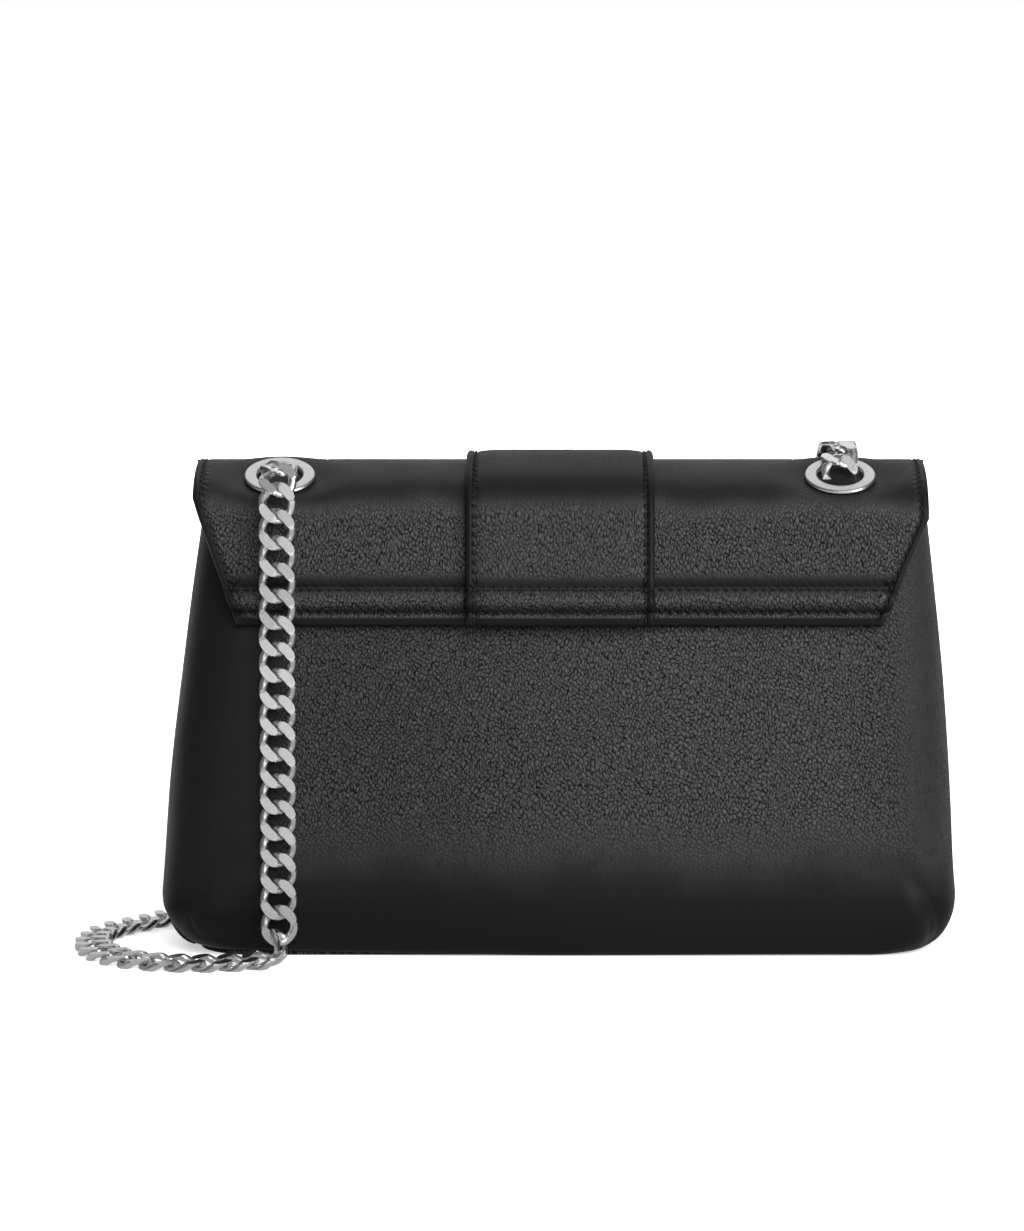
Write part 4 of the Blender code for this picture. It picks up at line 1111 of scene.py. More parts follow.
@dataclass(frozen=True)
class MetalFinish:
    """Polished silver metal with fine handling marks."""

    name: str = "silver_metal"
    colour: tuple = (0.74, 0.74, 0.745)
    roughness: float = 0.27
    marks: float = 0.05
    mark_scale: float = 2600.0
    mark_stretch: float = 0.25

    def build(self) -> bpy.types.Material:
        """Make the material.

        Returns:
            The material.
        """
        material, graph, shader = new_material(self.name)
        place = graph.add("ShaderNodeTexCoord").outputs["Object"]
        stretched = graph.add("ShaderNodeMapping", Vector=place, Scale=(1.0, 1.0, self.mark_stretch))
        marks = graph.add("ShaderNodeTexNoise", Vector=stretched.outputs[0], Scale=self.mark_scale,
                          Detail=2.0)
        rough = graph.remap(marks.outputs[0], 0.35, 0.7, self.roughness, self.roughness + self.marks)
        graph.link(rough, shader.inputs["Roughness"])
        shader.inputs["Base Color"].default_value = (*self.colour, 1.0)
        shader.inputs["Metallic"].default_value = 1.0
        return material


@dataclass(frozen=True)
class PlainFinish:
    """One flecked finish, for thread and board."""

    name: str
    colour: tuple
    roughness: float
    fleck: float = 0.6
    fleck_scale: float = 2600.0

    def build(self) -> bpy.types.Material:
        """Make the material.

        Returns:
            The material.
        """
        material, graph, shader = new_material(self.name)
        place = graph.add("ShaderNodeTexCoord").outputs["Object"]
        fleck = graph.add("ShaderNodeTexNoise", Vector=place, Scale=self.fleck_scale, Detail=2.0)
        dark = tuple(value * self.fleck for value in self.colour)
        graph.link(graph.colours(fleck.outputs[0], dark, self.colour), shader.inputs["Base Color"])
        shader.inputs["Roughness"].default_value = self.roughness
        return material


class Palette:
    """The materials that the pieces share."""

    def __init__(self):
        """Make every material once."""
        self.leather = LeatherFinish().build()
        self.suede = SuedeFinish().build()
        self.metal = MetalFinish().build()
        # Painted shade: the eyelet rings take a darker copy of the silver metal to dim their reflections.
        self.ring_metal = MetalFinish("eyelet_metal", (0.58, 0.58, 0.585)).build()
        self.thread = PlainFinish("black_thread", (0.005, 0.005, 0.005), 0.60).build()
        self.board = PlainFinish("fibre_board", (0.20, 0.17, 0.13), 0.85).build()


def paint(piece: bpy.types.Object, material: bpy.types.Material) -> bpy.types.Object:
    """Give a piece its material.

    Args:
        piece: The piece.
        material: Its material.

    Returns:
        The piece.
    """
    piece.data.materials.clear()
    piece.data.materials.append(material)
    return piece


def bend_over_fold(piece: bpy.types.Object) -> bpy.types.Object:
    """Bake a piece's placement into its mesh.

    Args:
        piece: The piece.

    Returns:
        The piece.
    """
    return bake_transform(piece)


# Stitches


@dataclass
class Stitching:
    """Rows of sewn stitches that share one mesh."""

    palette: Palette
    name: str
    pitch: float = 0.0030
    length: float = 0.0023
    radius: float = 0.00030
    slant: float = 0.16
    flatness: float = 0.8
    station_shares: tuple = (-1.0, -0.62, 0.0, 0.62, 1.0)
    girth_shares: tuple = (0.35, 0.9, 1.0, 0.9, 0.35)
    rise_shares: tuple = (-0.9, 0.35, 0.75, 0.35, -0.9)
    sides: int = 6
    points: list = field(default_factory=list)
    faces: list = field(default_factory=list)

    def add_row(self, line: np.ndarray, normals: np.ndarray) -> None:
        """Sew a row along a line.

        Args:
            line: Points close together along the row.
            normals: Normals of the leather at those points.
        """
        along = lengths_along(line)
        count = max(int(along[-1] / self.pitch), 1)

        def at(distance):
            """Point and normal at a distance along the row."""
            place = np.array([np.interp(distance, along, line[:, axis]) for axis in range(3)])
            normal = np.array([np.interp(distance, along, normals[:, axis]) for axis in range(3)])
            return place, normal / np.linalg.norm(normal)

        for middle in (np.arange(count) + 0.5) * along[-1] / count:
            first, _ = at(max(middle - self.length / 2, 0.0))
            last, _ = at(min(middle + self.length / 2, along[-1]))
            centre, normal = at(middle)
            forward = unit(last - first)
            forward = unit(forward + np.cross(normal, forward) * self.slant)
            self.add_stitch(centre, forward, normal)

    def add_stitch(self, centre: np.ndarray, forward: np.ndarray, normal: np.ndarray) -> None:
        """Add one closed stitch.

        Args:
            centre: Its middle on the leather.
            forward: Its direction.
            normal: Normal of the leather.
        """
        base = len(self.points)
        side = np.cross(normal, forward)
        angles = np.linspace(0.0, 2.0 * math.pi, self.sides, endpoint=False)
        for share, girth, rise in zip(self.station_shares, self.girth_shares, self.rise_shares):
            ring = centre + forward * (share * self.length / 2) + normal * (rise * self.radius)
            for angle in angles:
                spoke = side * math.cos(angle) + normal * math.sin(angle) * self.flatness
                self.points.append(ring + spoke * self.radius * girth)
        stations = len(self.station_shares) - 1
        for station in range(stations):
            for corner in range(self.sides):
                low = base + station * self.sides
                follow = (corner + 1) % self.sides
                self.faces.append([low + corner, low + follow, low + self.sides + follow,
                                   low + self.sides + corner])
        self.faces.append([base + corner for corner in range(self.sides - 1, -1, -1)])
        self.faces.append([base + stations * self.sides + corner for corner in range(self.sides)])

    def build(self) -> bpy.types.Object:
        """Make the mesh of all rows.

        Returns:
            The object.
        """
        made = face_outwards(add_mesh(self.name, np.array(self.points), self.faces, sharp=60.0))
        return paint(made, self.palette.thread)


# Sub-assemblies


@dataclass
class Body:
    """Back, front, gussets and sole."""

    palette: Palette
    wall: float = 0.0018
    columns: tuple = (16, 130, 16, 26)
    end_columns: tuple = (0.012, 0.025, 0.04)
    turn_rows: int = 26
    wall_rows: int = 78
    gusset_gap: float = 0.008
    panel_offset: float = 0.1
    seam_depth: float = 0.0008
    seam_width: float = 0.0013
    puff_inset: float = 0.0045
    puff_width: float = 0.0030
    unevenness: float = 0.00035
    even_foot: tuple = (0.002, 0.014)
    corner_crease: float = 0.0017
    crease_climb: float = 0.040
    crease_start: float = 0.004
    crease_end: tuple = (0.012, 0.046)
    bulge_height: float = 0.016
    bulge_reach: float = 0.013
    corner_tuck: float = 0.0020
    tuck_end: tuple = (0.003, 0.017)
    right_tuck_share: float = 0.20
    right_narrowing: float = 0.0010
    right_narrow_from: tuple = (0.100, 0.125)
    narrow_height: float = 0.024
    narrow_reach: float = 0.022
    left_narrowing: float = 0.0007
    left_narrow_from: tuple = (-0.095, -0.115)
    left_narrow_heights: tuple = (0.070, 0.140)
    # Painted shade: darker colour towards the left side and at the right edge, where the body turns away from
    # the light.
    shaded: float = 0.24
    left_shade: tuple = (0.030, -0.060)
    right_shade: tuple = (0.090, 0.120)
    right_shade_share: float = 1.1
    # Painted shade: the smooth zones at the foot and sides also darken the leather's colour.
    calm_and_shade_foot: tuple = (0.014, 0.058)
    calm_and_shade_left: tuple = (-0.086, -0.107)
    calm_and_shade_right: float = 0.1200
    calm_and_shade_right_reach: float = 0.011
    sole_edge: float = 0.0006
    sole_inset: float = 0.010
    sole_columns: int = 96

    def places(self, start: float, end: float) -> np.ndarray:
        """Places round the body, close together at seams and corners.

        Args:
            start: First place.
            end: Last place.

        Returns:
            The places.
        """
        found = [start, end]
        for whole in range(int(math.floor(start)), int(math.ceil(end))):
            found += [whole + share for share in np.linspace(0.0, 1.0, self.columns[whole % 4] + 1)]
        found += [start + step for step in self.end_columns]
        found += [end - step for step in self.end_columns]
        return np.unique(np.round(np.clip(found, start, end), 6))

    def heights(self, places: np.ndarray) -> np.ndarray:
        """Heights of the rows, from the turned lower edge to the rim.

        Args:
            places: Places round the body.

        Returns:
            Grid of heights, rows by places.
        """
        turn = BODY.turn_height(np.linspace(0.0, 1.0, self.turn_rows))[:-1]
        rise = np.linspace(0.0, 1.0, self.wall_rows)[:, None]
        upper = mix(BODY.widest, BODY.rim(places)[None, :], rise)
        return np.concatenate([np.tile(turn[:, None], (1, len(places))), upper])

    def waves(self, surface: np.ndarray) -> np.ndarray:
        """Slow waves of soft leather, from turns in radians per metre.

        Args:
            surface: Grid of points.

        Returns:
            The waves, from about -1 to 1.
        """
        x, y, z = surface[..., 0], surface[..., 1], surface[..., 2]
        broad = np.sin(x * 61.0 + z * 23.0) * np.sin(z * 47.0 + 1.3)
        slanted = np.sin(x * 113.0 - z * 71.0 + y * 90.0)
        steep = np.sin(x * 37.0 + z * 97.0 + 0.7)
        return (broad + 0.6 * slanted + 0.5 * steep) / 2.1

    def gather(self, places: np.ndarray, surface: np.ndarray) -> np.ndarray:
        """Gathers of the leather at the lower corners.

        Args:
            places: Grid of places.
            surface: Grid of points.

        Returns:
            How far each point stands out.
        """
        x, z = surface[..., 0], surface[..., 2]
        local = np.mod(places, 4.0)
        climb = np.clip(z / self.crease_climb, 0.0, 1.0)
        drift = np.minimum(np.abs(local - 0.25 - 0.95 * climb), np.abs(local - 2.75 + 0.95 * climb))
        crease = ridge(drift, 0.16) * (1.0 - ramp(z, *self.crease_end)) * ease(z / self.crease_start)
        beside = np.minimum(np.abs(local - 0.35), np.abs(local - 2.65))
        bulge = ridge(beside, 0.30) * ridge(z - self.bulge_height, self.bulge_reach)
        corner = np.maximum(ease(1.6 - 1.6 * np.abs(local - 0.5)), ease(1.6 - 1.6 * np.abs(local - 2.5)))
        tuck = corner * (1.0 - ramp(z, *self.tuck_end)) * np.where(x > 0.0, self.right_tuck_share, 1.0)
        return self.corner_crease * (0.35 * bulge - crease) - self.corner_tuck * tuck

    def relief(self, places: np.ndarray, surface: np.ndarray) -> np.ndarray:
        """Soft relief of the leather: seams, gathered corners and slight unevenness.

        Args:
            places: Grid of places.
            surface: Grid of points.

        Returns:
            How far each point stands out.
        """
        x, z = surface[..., 0], surface[..., 2]
        left = lengths_along(surface, 1)
        right = left[:, -1:] - left
        seams = ridge(left, self.seam_width) + ridge(right, self.seam_width)
        puff = sum(ridge(edge - self.puff_inset, self.puff_width) for edge in (left, right))
        narrow = self.right_narrowing * ridge(z - self.narrow_height, self.narrow_reach) \
            * ramp(x, *self.right_narrow_from)
        narrow += self.left_narrowing * ramp(z, *self.left_narrow_heights) * ramp(x, *self.left_narrow_from)
        uneven = self.unevenness * self.waves(surface) * ramp(z, *self.even_foot)
        return self.seam_depth * (0.35 * puff - seams) + uneven - narrow + self.gather(places, surface)

    def calm(self, surface: np.ndarray) -> np.ndarray:
        """How smooth the grain is and how much painted shade darkens it: smooth and darker at the foot, where
        the leather turns under, and towards both sides.

        Args:
            surface: Grid of points.

        Returns:
            The calmness, from 0 to 1.
        """
        x, z = surface[..., 0], surface[..., 2]
        wander = 0.004 * np.sin(x * 90.0) + 0.002 * np.sin(x * 231.0 + 1.0)
        left = ramp(x + wander, *self.calm_and_shade_left) * 0.92
        right = ridge(x - self.calm_and_shade_right, self.calm_and_shade_right_reach) * 0.62
        return np.maximum(1.0 - ramp(z - 0.4 * wander, *self.calm_and_shade_foot), np.maximum(left, right))

    def panel(self, name: str, start: float, end: float, node: str) -> bpy.types.Object:
        """Make one panel of the body.

        Args:
            name: Name of the piece.
            start: First place round the body.
            end: Last place round the body.
            node: CAD node that it stands for.

        Returns:
            The panel.
        """
        places = self.places(start, end)
        heights = self.heights(places)
        grid = np.tile(places, (len(heights), 1))
        surface = BODY.surface(grid, heights)
        normal = BODY.normal(grid, heights)
        outer = surface + normal * self.relief(grid, surface)[..., None]
        inner = surface - normal * self.wall
        along = lengths_along(surface, 1)
        along = np.tile(along[np.argmax(along[:, -1])], (len(heights), 1)) + start * self.panel_offset
        # Painted shade, carried as the flow's third value.
        left, right = ramp(surface[..., 0], *self.left_shade), ramp(surface[..., 0], *self.right_shade)
        shade = self.shaded * np.maximum(left, self.right_shade_share * right)
        flow = np.stack([along, lengths_along(surface, 0), shade], axis=-1)
        calm = self.calm(surface)
        made = thick_sheet(name, outer, inner, fields={"flow": flow, "calm": calm, **no_seam(calm)})
        paint(made, self.palette.leather)
        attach(made, "root")
        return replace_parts(made, node)

    def sole(self) -> bpy.types.Object:
        """Make the sole with its softly rounded edge.

        Returns:
            The sole.
        """
        low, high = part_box("base_panel")
        half_x, half_y = high.x, high.y
        radius = BODY.corner
        angles = np.linspace(0.0, 2.0 * math.pi, self.sole_columns, endpoint=False)
        corner_x = np.where(np.cos(angles) >= 0.0, half_x - radius, radius - half_x)
        corner_y = np.where(np.sin(angles) >= 0.0, half_y - radius, radius - half_y)
        outline = np.stack([corner_x + radius * np.cos(angles), corner_y + radius * np.sin(angles)], axis=-1)
        edge = self.sole_edge
        lower = [(half_y, low.z), (self.sole_inset, low.z), (edge, low.z), (edge * 0.3, edge * 0.3),
                 (0.0, edge)]
        upper = [(0.0, high.z - edge), (edge * 0.3, high.z - edge * 0.3), (edge, high.z),
                 (self.sole_inset, high.z), (half_y, high.z)]
        rows = []
        for inset, height in lower + upper:
            scale = np.array([1.0 - inset / half_x, 1.0 - inset / half_y])
            rows.append(np.concatenate([outline * scale, np.full((len(outline), 1), height)], axis=1))
        flat = np.array(rows).reshape(-1, 3)
        index = np.arange(len(flat)).reshape(-1, len(outline))
        after = np.roll(index, -1, axis=1)
        faces = np.stack([index[:-1], after[:-1], after[1:], index[1:]], axis=-1).reshape(-1, 4).tolist()
        calm = np.zeros(len(flat))
        made = face_outwards(add_mesh("sole", flat, faces, {"flow": flat, "calm": calm, **no_seam(calm)}))
        paint(made, self.palette.leather)
        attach(made, "root")
        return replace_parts(made, "base_panel")

    def build(self) -> None:
        """Make every piece of the body."""
        seam = BODY.seam_share
        inset = seam + self.gusset_gap
        self.panel("back_leather", -seam, 3.0 + seam, "back_panel")
        self.panel("front_leather", 4.0 - seam, 7.0 + seam, "front_panel")
        self.panel("gusset_leather_right", 3.0 + inset, 4.0 - inset, "gusset_right")
        self.panel("gusset_leather_left", 7.0 + inset, 8.0 - inset, "gusset_left")
        self.sole()
        paint(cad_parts["base_board"], self.palette.board)


@dataclass
class Inside:
    """Lining, facing and slip pocket."""

    palette: Palette
    wall: float = 0.0018
    gap: float = 0.0005
    lining: float = 0.0007
    facing: float = 0.0010
    facing_rows: int = 14
    facing_calm: float = 0.4
    facing_flow_step: float = 0.005
    floor: float = 0.0045
    floor_shares: tuple = (0.0, 0.35, 0.7, 0.93)
    slack: float = 0.0009
    slump: float = 0.0006
    slump_reach: float = 0.03
    columns: tuple = (8, 36, 8, 14)
    turn_rows: int = 7
    wall_rows: int = 30
    pocket_width: float = 0.120
    pocket_low: float = 0.040
    pocket_high: float = 0.098
    pocket_cloth: float = 0.0008
    pocket_ease: float = 0.0016
    pocket_columns: int = 61
    pocket_rows: int = 30

    def ring(self) -> np.ndarray:
        """Places all the way round the body.

        Returns:
            The places.
        """
        found = []
        for whole in range(8):
            shares = np.linspace(0.0, 1.0, self.columns[whole % 4], endpoint=False)
            found += [whole + share for share in shares]
        return np.array(found)

    def sack(self, places: np.ndarray) -> None:
        """Make the lining sack with its floor.

        Args:
            places: Places round the body.
        """
        top = BODY.rim(places) - BODY.facing_height
        turned = BODY.turn_height(np.linspace(0.25, 1.0, self.turn_rows))[:-1]
        rows = [np.full(len(places), height) for height in turned]
        rows += [mix(BODY.widest, top - self.slack, share) for share in np.linspace(0.0, 1.0, self.wall_rows)]
        heights = np.array(rows)
        grid = np.tile(places, (len(heights), 1))
        surface = BODY.surface(grid, heights)
        normal = BODY.normal(grid, heights)
        slump = self.slump * np.sin(surface[..., 0] * 70.0 + 1.0) * np.sin(surface[..., 2] * 55.0)
        slump = slump * ease((heights - BODY.widest) / self.slump_reach)
        slump = slump * ease((top[None, :] - heights) / self.slump_reach)
        outer = surface - normal * (self.wall + self.gap + np.maximum(slump, 0.0))[..., None]
        inner = outer - normal * self.lining
        faces = []
        for face, level in ((outer, self.floor), (inner, self.floor + self.lining)):
            face[0, :, 2] = level
            shares = np.array(self.floor_shares)[:, None, None]
            middle = face[:1] * (np.array([1.0, 1.0, 0.0]) * shares) + np.array([0.0, 0.0, level])
            faces.append(np.concatenate([middle, face]))
        sack = thick_sheet("lining_sack_cloth", *faces, wrap=True)
        paint(sack, self.palette.suede)
        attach(sack, "root")
        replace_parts(sack, "lining_sack")

    def mouth_facing(self, places: np.ndarray) -> None:
        """Make the leather facing round the mouth.

        Args:
            places: Places round the body.
        """
        rim = BODY.rim(places)
        heights = mix(rim - BODY.facing_height, rim, np.linspace(0.0, 1.0, self.facing_rows)[:, None])
        grid = np.tile(places, (len(heights), 1))
        surface = BODY.surface(grid, heights)
        normal = BODY.normal(grid, heights)
        inset = self.wall + self.gap
        along = np.tile(np.arange(len(places)) * self.facing_flow_step, (len(heights), 1))
        calm = np.full(heights.shape, self.facing_calm)
        fields = {"flow": np.stack([along, heights, np.zeros_like(heights)], axis=-1), "calm": calm}
        facing = thick_sheet("mouth_facing_leather", surface - normal * inset,
                             surface - normal * (inset + self.facing), wrap=True,
                             fields={**fields, **no_seam(heights)})
        paint(facing, self.palette.leather)
        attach(facing, "root")
        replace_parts(facing, "mouth_facing")

    def pocket(self) -> None:
        """Make the slip pocket on the back lining."""
        flat = 2.0 * (float(BODY.half_sizes(self.pocket_low)[0]) - BODY.corner)
        half = self.pocket_width / flat / 2
        across = np.linspace(-1.0, 1.0, self.pocket_columns)
        places, rise = np.meshgrid(1.5 + half * across, np.linspace(0.0, 1.0, self.pocket_rows))
        heights = mix(self.pocket_low, self.pocket_high, rise)
        inset = self.wall + self.gap + self.lining + self.slack + self.pocket_cloth
        hold = np.minimum(ease((1.0 - np.abs((places - 1.5) / half)) / 0.04), ease(rise / 0.06))
        surface = BODY.surface(places, heights)
        normal = BODY.normal(places, heights)
        outer = surface - normal * (inset + self.pocket_ease * hold)[..., None]
        inner = outer + normal * self.pocket_cloth
        made = thick_sheet("slip_pocket_cloth", outer[:, ::-1], inner[:, ::-1])
        paint(made, self.palette.suede)
        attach(made, "root")
        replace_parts(made, "slip_pocket")

    def build(self) -> None:
        """Make the lining sack, the facing and the pocket."""
        places = self.ring()
        self.sack(places)
        self.mouth_facing(places)
        self.pocket()


@dataclass
class Cover:
    """Yoke and flap of one leather, their lining, the shoulders and the centre band."""

    palette: Palette
    skin: float = 0.0015
    lining_gap: float = 0.0009
    lining: float = 0.0007
    lining_width: float = 0.9965
    shoulder_trim: float = 0.0004
    flap_gap: float = 0.0003
    board: float = 0.0007
    cut_radius: float = 0.00075
    rounding: tuple = (0.0017, 0.0012)
    hem_rounding: float = 0.00135
    stitch_inset: float = 0.0027
    stitch_step: float = 0.0008
    valley_depth: float = 0.0010
    valley: tuple = (0.0016, 0.0032)
    groove_depth: float = 0.00065
    groove_width: float = 0.00075
    groove_start: tuple = (0.0008, 0.0038)
    strip_rise: float = 0.00025
    strip: tuple = (0.0019, 0.0008)
    puckers: float = 0.0014
    shoulder_start: float = 0.0010
    fold_start: float = 0.005
    hem_crest: float = 0.0029
    hem_crest_width: float = 0.0009
    hem_crest_rise: float = 0.00035
    hem_inset: float = 0.0032
    hem_rows: tuple = (2.965, 2.9685, 2.985)
    shoulder_hem_rows: tuple = (2.93, 2.95, 2.97)
    band_half: float = 0.03075
    band_lift: float = 0.0004
    band_thickness: float = 0.0023
    band_puff: float = 0.00045
    band_puff_width: float = 0.008
    band_stitch_inset: float = 0.0030
    band_stitch_start: float = 0.02
    band_gap: float = 0.0012
    band_row_inset: float = 0.0035
    band_rounding: float = 0.0014
    band_hem_rounding: float = 0.0016
    band_strip: tuple = (0.0017, 0.0010)
    band_strip_rise: float = 0.00035
    band_valley: tuple = (0.0014, 0.0026)
    band_calm_and_shade: float = 0.20
    band_calm_and_shade_drop: float = 0.001
    band_grain_start: float = 0.5
    grain_spread: float = 1.15
    grain_stretch: float = 0.92
    calm_and_shade_edge: tuple = (0.0022, 0.0034)
    top_shade: float = 0.28
    top_shade_heights: tuple = (0.1430, 0.1570)
    ridge_rows: tuple = (36, 34)
    rise: float = DOME.base_height - DOME.hem_height
    fold: float = field(init=False)

    def __post_init__(self) -> None:
        """Find where the fold starts."""
        self.fold = DOME.run_at_depth(self.shoulder_start)

    def rear_runs(self) -> np.ndarray:
        """Runs of the rows on the back, closest at the roll.

        Returns:
            The runs.
        """
        roll = spaced(0.0012, 0.0150, 0.00045)
        above = spaced(0.0162, self.rise, 0.0012)
        return np.concatenate([CLOSE_COLUMNS, roll, above]) / self.rise

    def ridge_runs(self) -> np.ndarray:
        """Runs of the rows over the ridge.

        Returns:
            The runs.
        """
        rear, front = self.ridge_rows
        return np.concatenate([np.linspace(1.0, self.fold, rear)[1:], np.linspace(self.fold, 2.0, front)[1:]])

    def front_runs(self) -> np.ndarray:
        """Runs of the rows down the front, closest at the hem.

        Returns:
            The runs.
        """
        left = np.concatenate([spaced(1.0, 0.012, 0.014), [0.0088, 0.0056, 0.0036, 0.0018, 0.0]])
        return np.unique(2.0 + (1.0 - left))[1:]

    def edge_columns(self, inner: float, outer: float) -> np.ndarray:
        """Shares across from an inner to an outer line, closest at the outer edge.

        Args:
            inner: Where the columns start.
            outer: Where they end.

        Returns:
            Shares from 0 to 1, without 0.
        """
        near = np.array(CLOSE_COLUMNS + (0.0014, 0.0020, 0.0024, 0.0027, 0.0030, 0.0034, 0.0042))
        width = outer - inner
        rest = spaced(0.0, width - 0.0052, 0.0011)[1:]
        return np.unique(np.round(np.concatenate([rest, width - near]) / width, 6))

    def seam_lengths(self, runs: np.ndarray, arc: np.ndarray) -> tuple:
        """Lengths at which the two rows of the roll are sewn.

        Args:
            runs: The runs.
            arc: Lengths at those runs.

        Returns:
            Length of the lower and of the upper row.
        """
        places = (DOME.roll_low / self.rise, DOME.roll_high / self.rise)
        return tuple(float(np.interp(place, runs, arc)) for place in places)

    def edging(self, side: np.ndarray, near: np.ndarray) -> np.ndarray:
        """Groove of a stitch row and the raised strip outside it.

        Args:
            side: Distance from the sewn edge.
            near: Distance from the nearest edge.

        Returns:
            The relief.
        """
        inset, width = self.strip
        groove = self.groove_depth * ridge(side - self.stitch_inset, self.groove_width)
        return self.strip_rise * ridge(near - inset, width) - groove

    def edge_puckers(self, side: np.ndarray) -> np.ndarray:
        """Puckers beside a stitch row along an edge.

        Args:
            side: Distance from the edge.

        Returns:
            Their strength.
        """
        return 0.9 * ridge(side - self.stitch_inset - 0.0008, 0.0013)

    def roll_puckers(self, length: np.ndarray, low_row: float, high_row: float) -> np.ndarray:
        """Puckers along the two rows of the roll.

        Args:
            length: Length along the run.
            low_row: Length at the lower row.
            high_row: Length at the upper row.

        Returns:
            Their strength.
        """
        above = ridge(length - low_row - self.puckers, 0.0016)
        return above + 0.7 * ridge(length - high_row + 0.0012, 0.0015)

    def flow(self, x: np.ndarray, length: np.ndarray, start: float = 0.0, shade: float = 0.0) -> np.ndarray:
        """Flow map of the grain, with painted shade as its third value.

        Args:
            x: Places across.
            length: Lengths along the run.
            start: Shift of the grain.
            shade: Painted shade, a darkening of the colour, a number or a grid.

        Returns:
            Grid of (across, along, painted shade).
        """
        across = x * self.grain_spread + start
        return np.stack([across, length * self.grain_stretch, shade + 0.0 * x], axis=-1)

    def line(self, x: np.ndarray, run: np.ndarray, low: np.ndarray, front: Front) -> tuple:
        """Outer and inner grid of a lining under the dome.

        Args:
            x: Places across.
            run: The runs.
            low: Lift of the outer face.
            front: What the front hem belongs to.

        Returns:
            Every second row of both grids.
        """
        outer, _ = DOME.point(x, run, low, front, False)
        inner, _ = DOME.point(x, run, low - self.lining, front, False)
        return outer[::2], inner[::2]

    def widths(self, runs: np.ndarray) -> tuple:
        """Places across the yoke and the flap, which is narrower in front of the ridge.

        Args:
            runs: The runs.

        Returns:
            Places across, and how many columns the flap has to each side.
        """
        middle = DOME.flap_half_width
        inner_share = self.edge_columns(0.0, middle)
        outer_share = self.edge_columns(middle, DOME.half_width)[None, :]
        flap_half = DOME.flap_half_width_at(runs)[:, None]
        right = np.concatenate([[0.0], inner_share])[None, :] * flap_half
        beyond = middle + outer_share * (DOME.half_width_at(runs)[:, None] - middle)
        beyond = np.where(runs[:, None] > 2.0, flap_half + outer_share * 0.001, beyond)
        half = np.concatenate([right, beyond], axis=1)
        return np.concatenate([-half[:, :0:-1], half], axis=1), len(inner_share)

    def leather(self) -> None:
        """Make the one leather of yoke and flap."""
        runs = np.concatenate([self.rear_runs(), self.ridge_runs(), self.front_runs()])
        x, reach = self.widths(runs)
        run = np.tile(runs[:, None], (1, x.shape[1]))
        arc = lengths_along(DOME.profile(runs, Front.FLAP, False))
        front = run > self.fold - 1e-6
        slope = math.atan((DOME.half_width - DOME.hem_half_width) / (DOME.diagonal_top - DOME.hem_height))
        yoke_side = (DOME.half_width_at(runs)[:, None] - np.abs(x)) * math.cos(slope)
        side = np.where(front, DOME.flap_half_width_at(runs)[:, None] - np.abs(x), yoke_side)
        side = np.maximum(side, 0.0)
        hem = np.where(front, arc[-1] - arc[:, None], arc[:, None]) + 0.0 * x
        length = np.tile(arc[:, None], (1, x.shape[1]))
        low_row, high_row = self.seam_lengths(runs, arc)
        rear = np.where(front, 0.0, 1.0)
        seams = [(x, np.where(front, hem - self.hem_inset, length - low_row)),
                 (x, np.where(front, 1.0, length - high_row)),
                 (length, side - self.stitch_inset)]
        reached = ease((length - float(np.interp(self.fold, runs, arc))) / self.fold_start)
        edges = np.where(front, reached, 1.0)
        inward = ramp(side, *self.groove_start)
        shift, width = self.valley
        rows = self.groove_depth * 1.3 * ridge(length - high_row, self.groove_width * 1.6)
        rows += self.valley_depth * ridge(length - high_row - shift, width)
        lower = self.groove_depth * 1.2 * ridge(seams[0][1], self.groove_width * 1.4)
        crest = self.hem_crest_rise * ridge(hem - self.hem_crest, self.hem_crest_width)
        dropped = np.maximum(rounded_edge(side, *self.rounding) * edges,
                             rounded_edge(hem, self.hem_crest, self.hem_rounding))
        relief = self.edging(side, side) * edges - (rows * rear + lower) * inward + crest - dropped
        outer, _ = DOME.point(x, run, relief, Front.FLAP)
        inner, _ = DOME.point(x, run, -self.skin, Front.FLAP)
        columns = np.arange(x.shape[1] - 1)
        centre = (x.shape[1] - 1) // 2
        in_flap = (columns >= centre - reach) & (columns < centre + reach)
        keep = in_flap[None, :] | (runs[:-1, None] < self.fold - 1e-6)
        # Painted shade: the ridge zone, the valley above the roll and the rounded edges are smoother and
        # darker in colour.
        wander = 0.001 * np.sin(x * 95.0) + 0.0006 * np.sin(x * 260.0)
        calm = np.maximum(DOME.calm_and_shade_at(outer[..., 2] - wander),
                          ridge(length - high_row - shift, 0.0030) * rear * 0.92)
        calm = np.maximum(calm, 1.0 - ramp(np.minimum(side + 1.0 - edges, hem), *self.calm_and_shade_edge))
        pucker = self.roll_puckers(length, low_row, high_row)
        pucker += 0.5 * ridge(length - high_row - self.puckers, 0.0012)
        pucker = rear * pucker * (side > self.stitch_inset) + self.edge_puckers(side) * edges
        made = thick_sheet("yoke_and_flap_leather", outer, inner, keep, fields={
            "flow": self.flow(x, length), "calm": np.clip(calm, 0.0, 1.0), "seam": nearest_seam(seams),
            "pucker": np.clip(pucker, 0.0, 1.0)})
        paint(made, self.palette.leather)
        bend_over_fold(made)
        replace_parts(made, "yoke", "flap_front")

        front_low = -(self.skin + self.flap_gap + self.board + self.flap_gap)
        low = np.where(run > DOME.run_at_depth(0.0), front_low, -(self.skin + self.lining_gap))
        outer, inner = self.line(x * self.lining_width, run, low, Front.FLAP)
        made = thick_sheet("yoke_and_flap_lining", outer, inner, keep[::2][:len(outer) - 1])
        paint(made, self.palette.suede)
        bend_over_fold(made)
        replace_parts(made, "yoke_lining", "flap_lining")

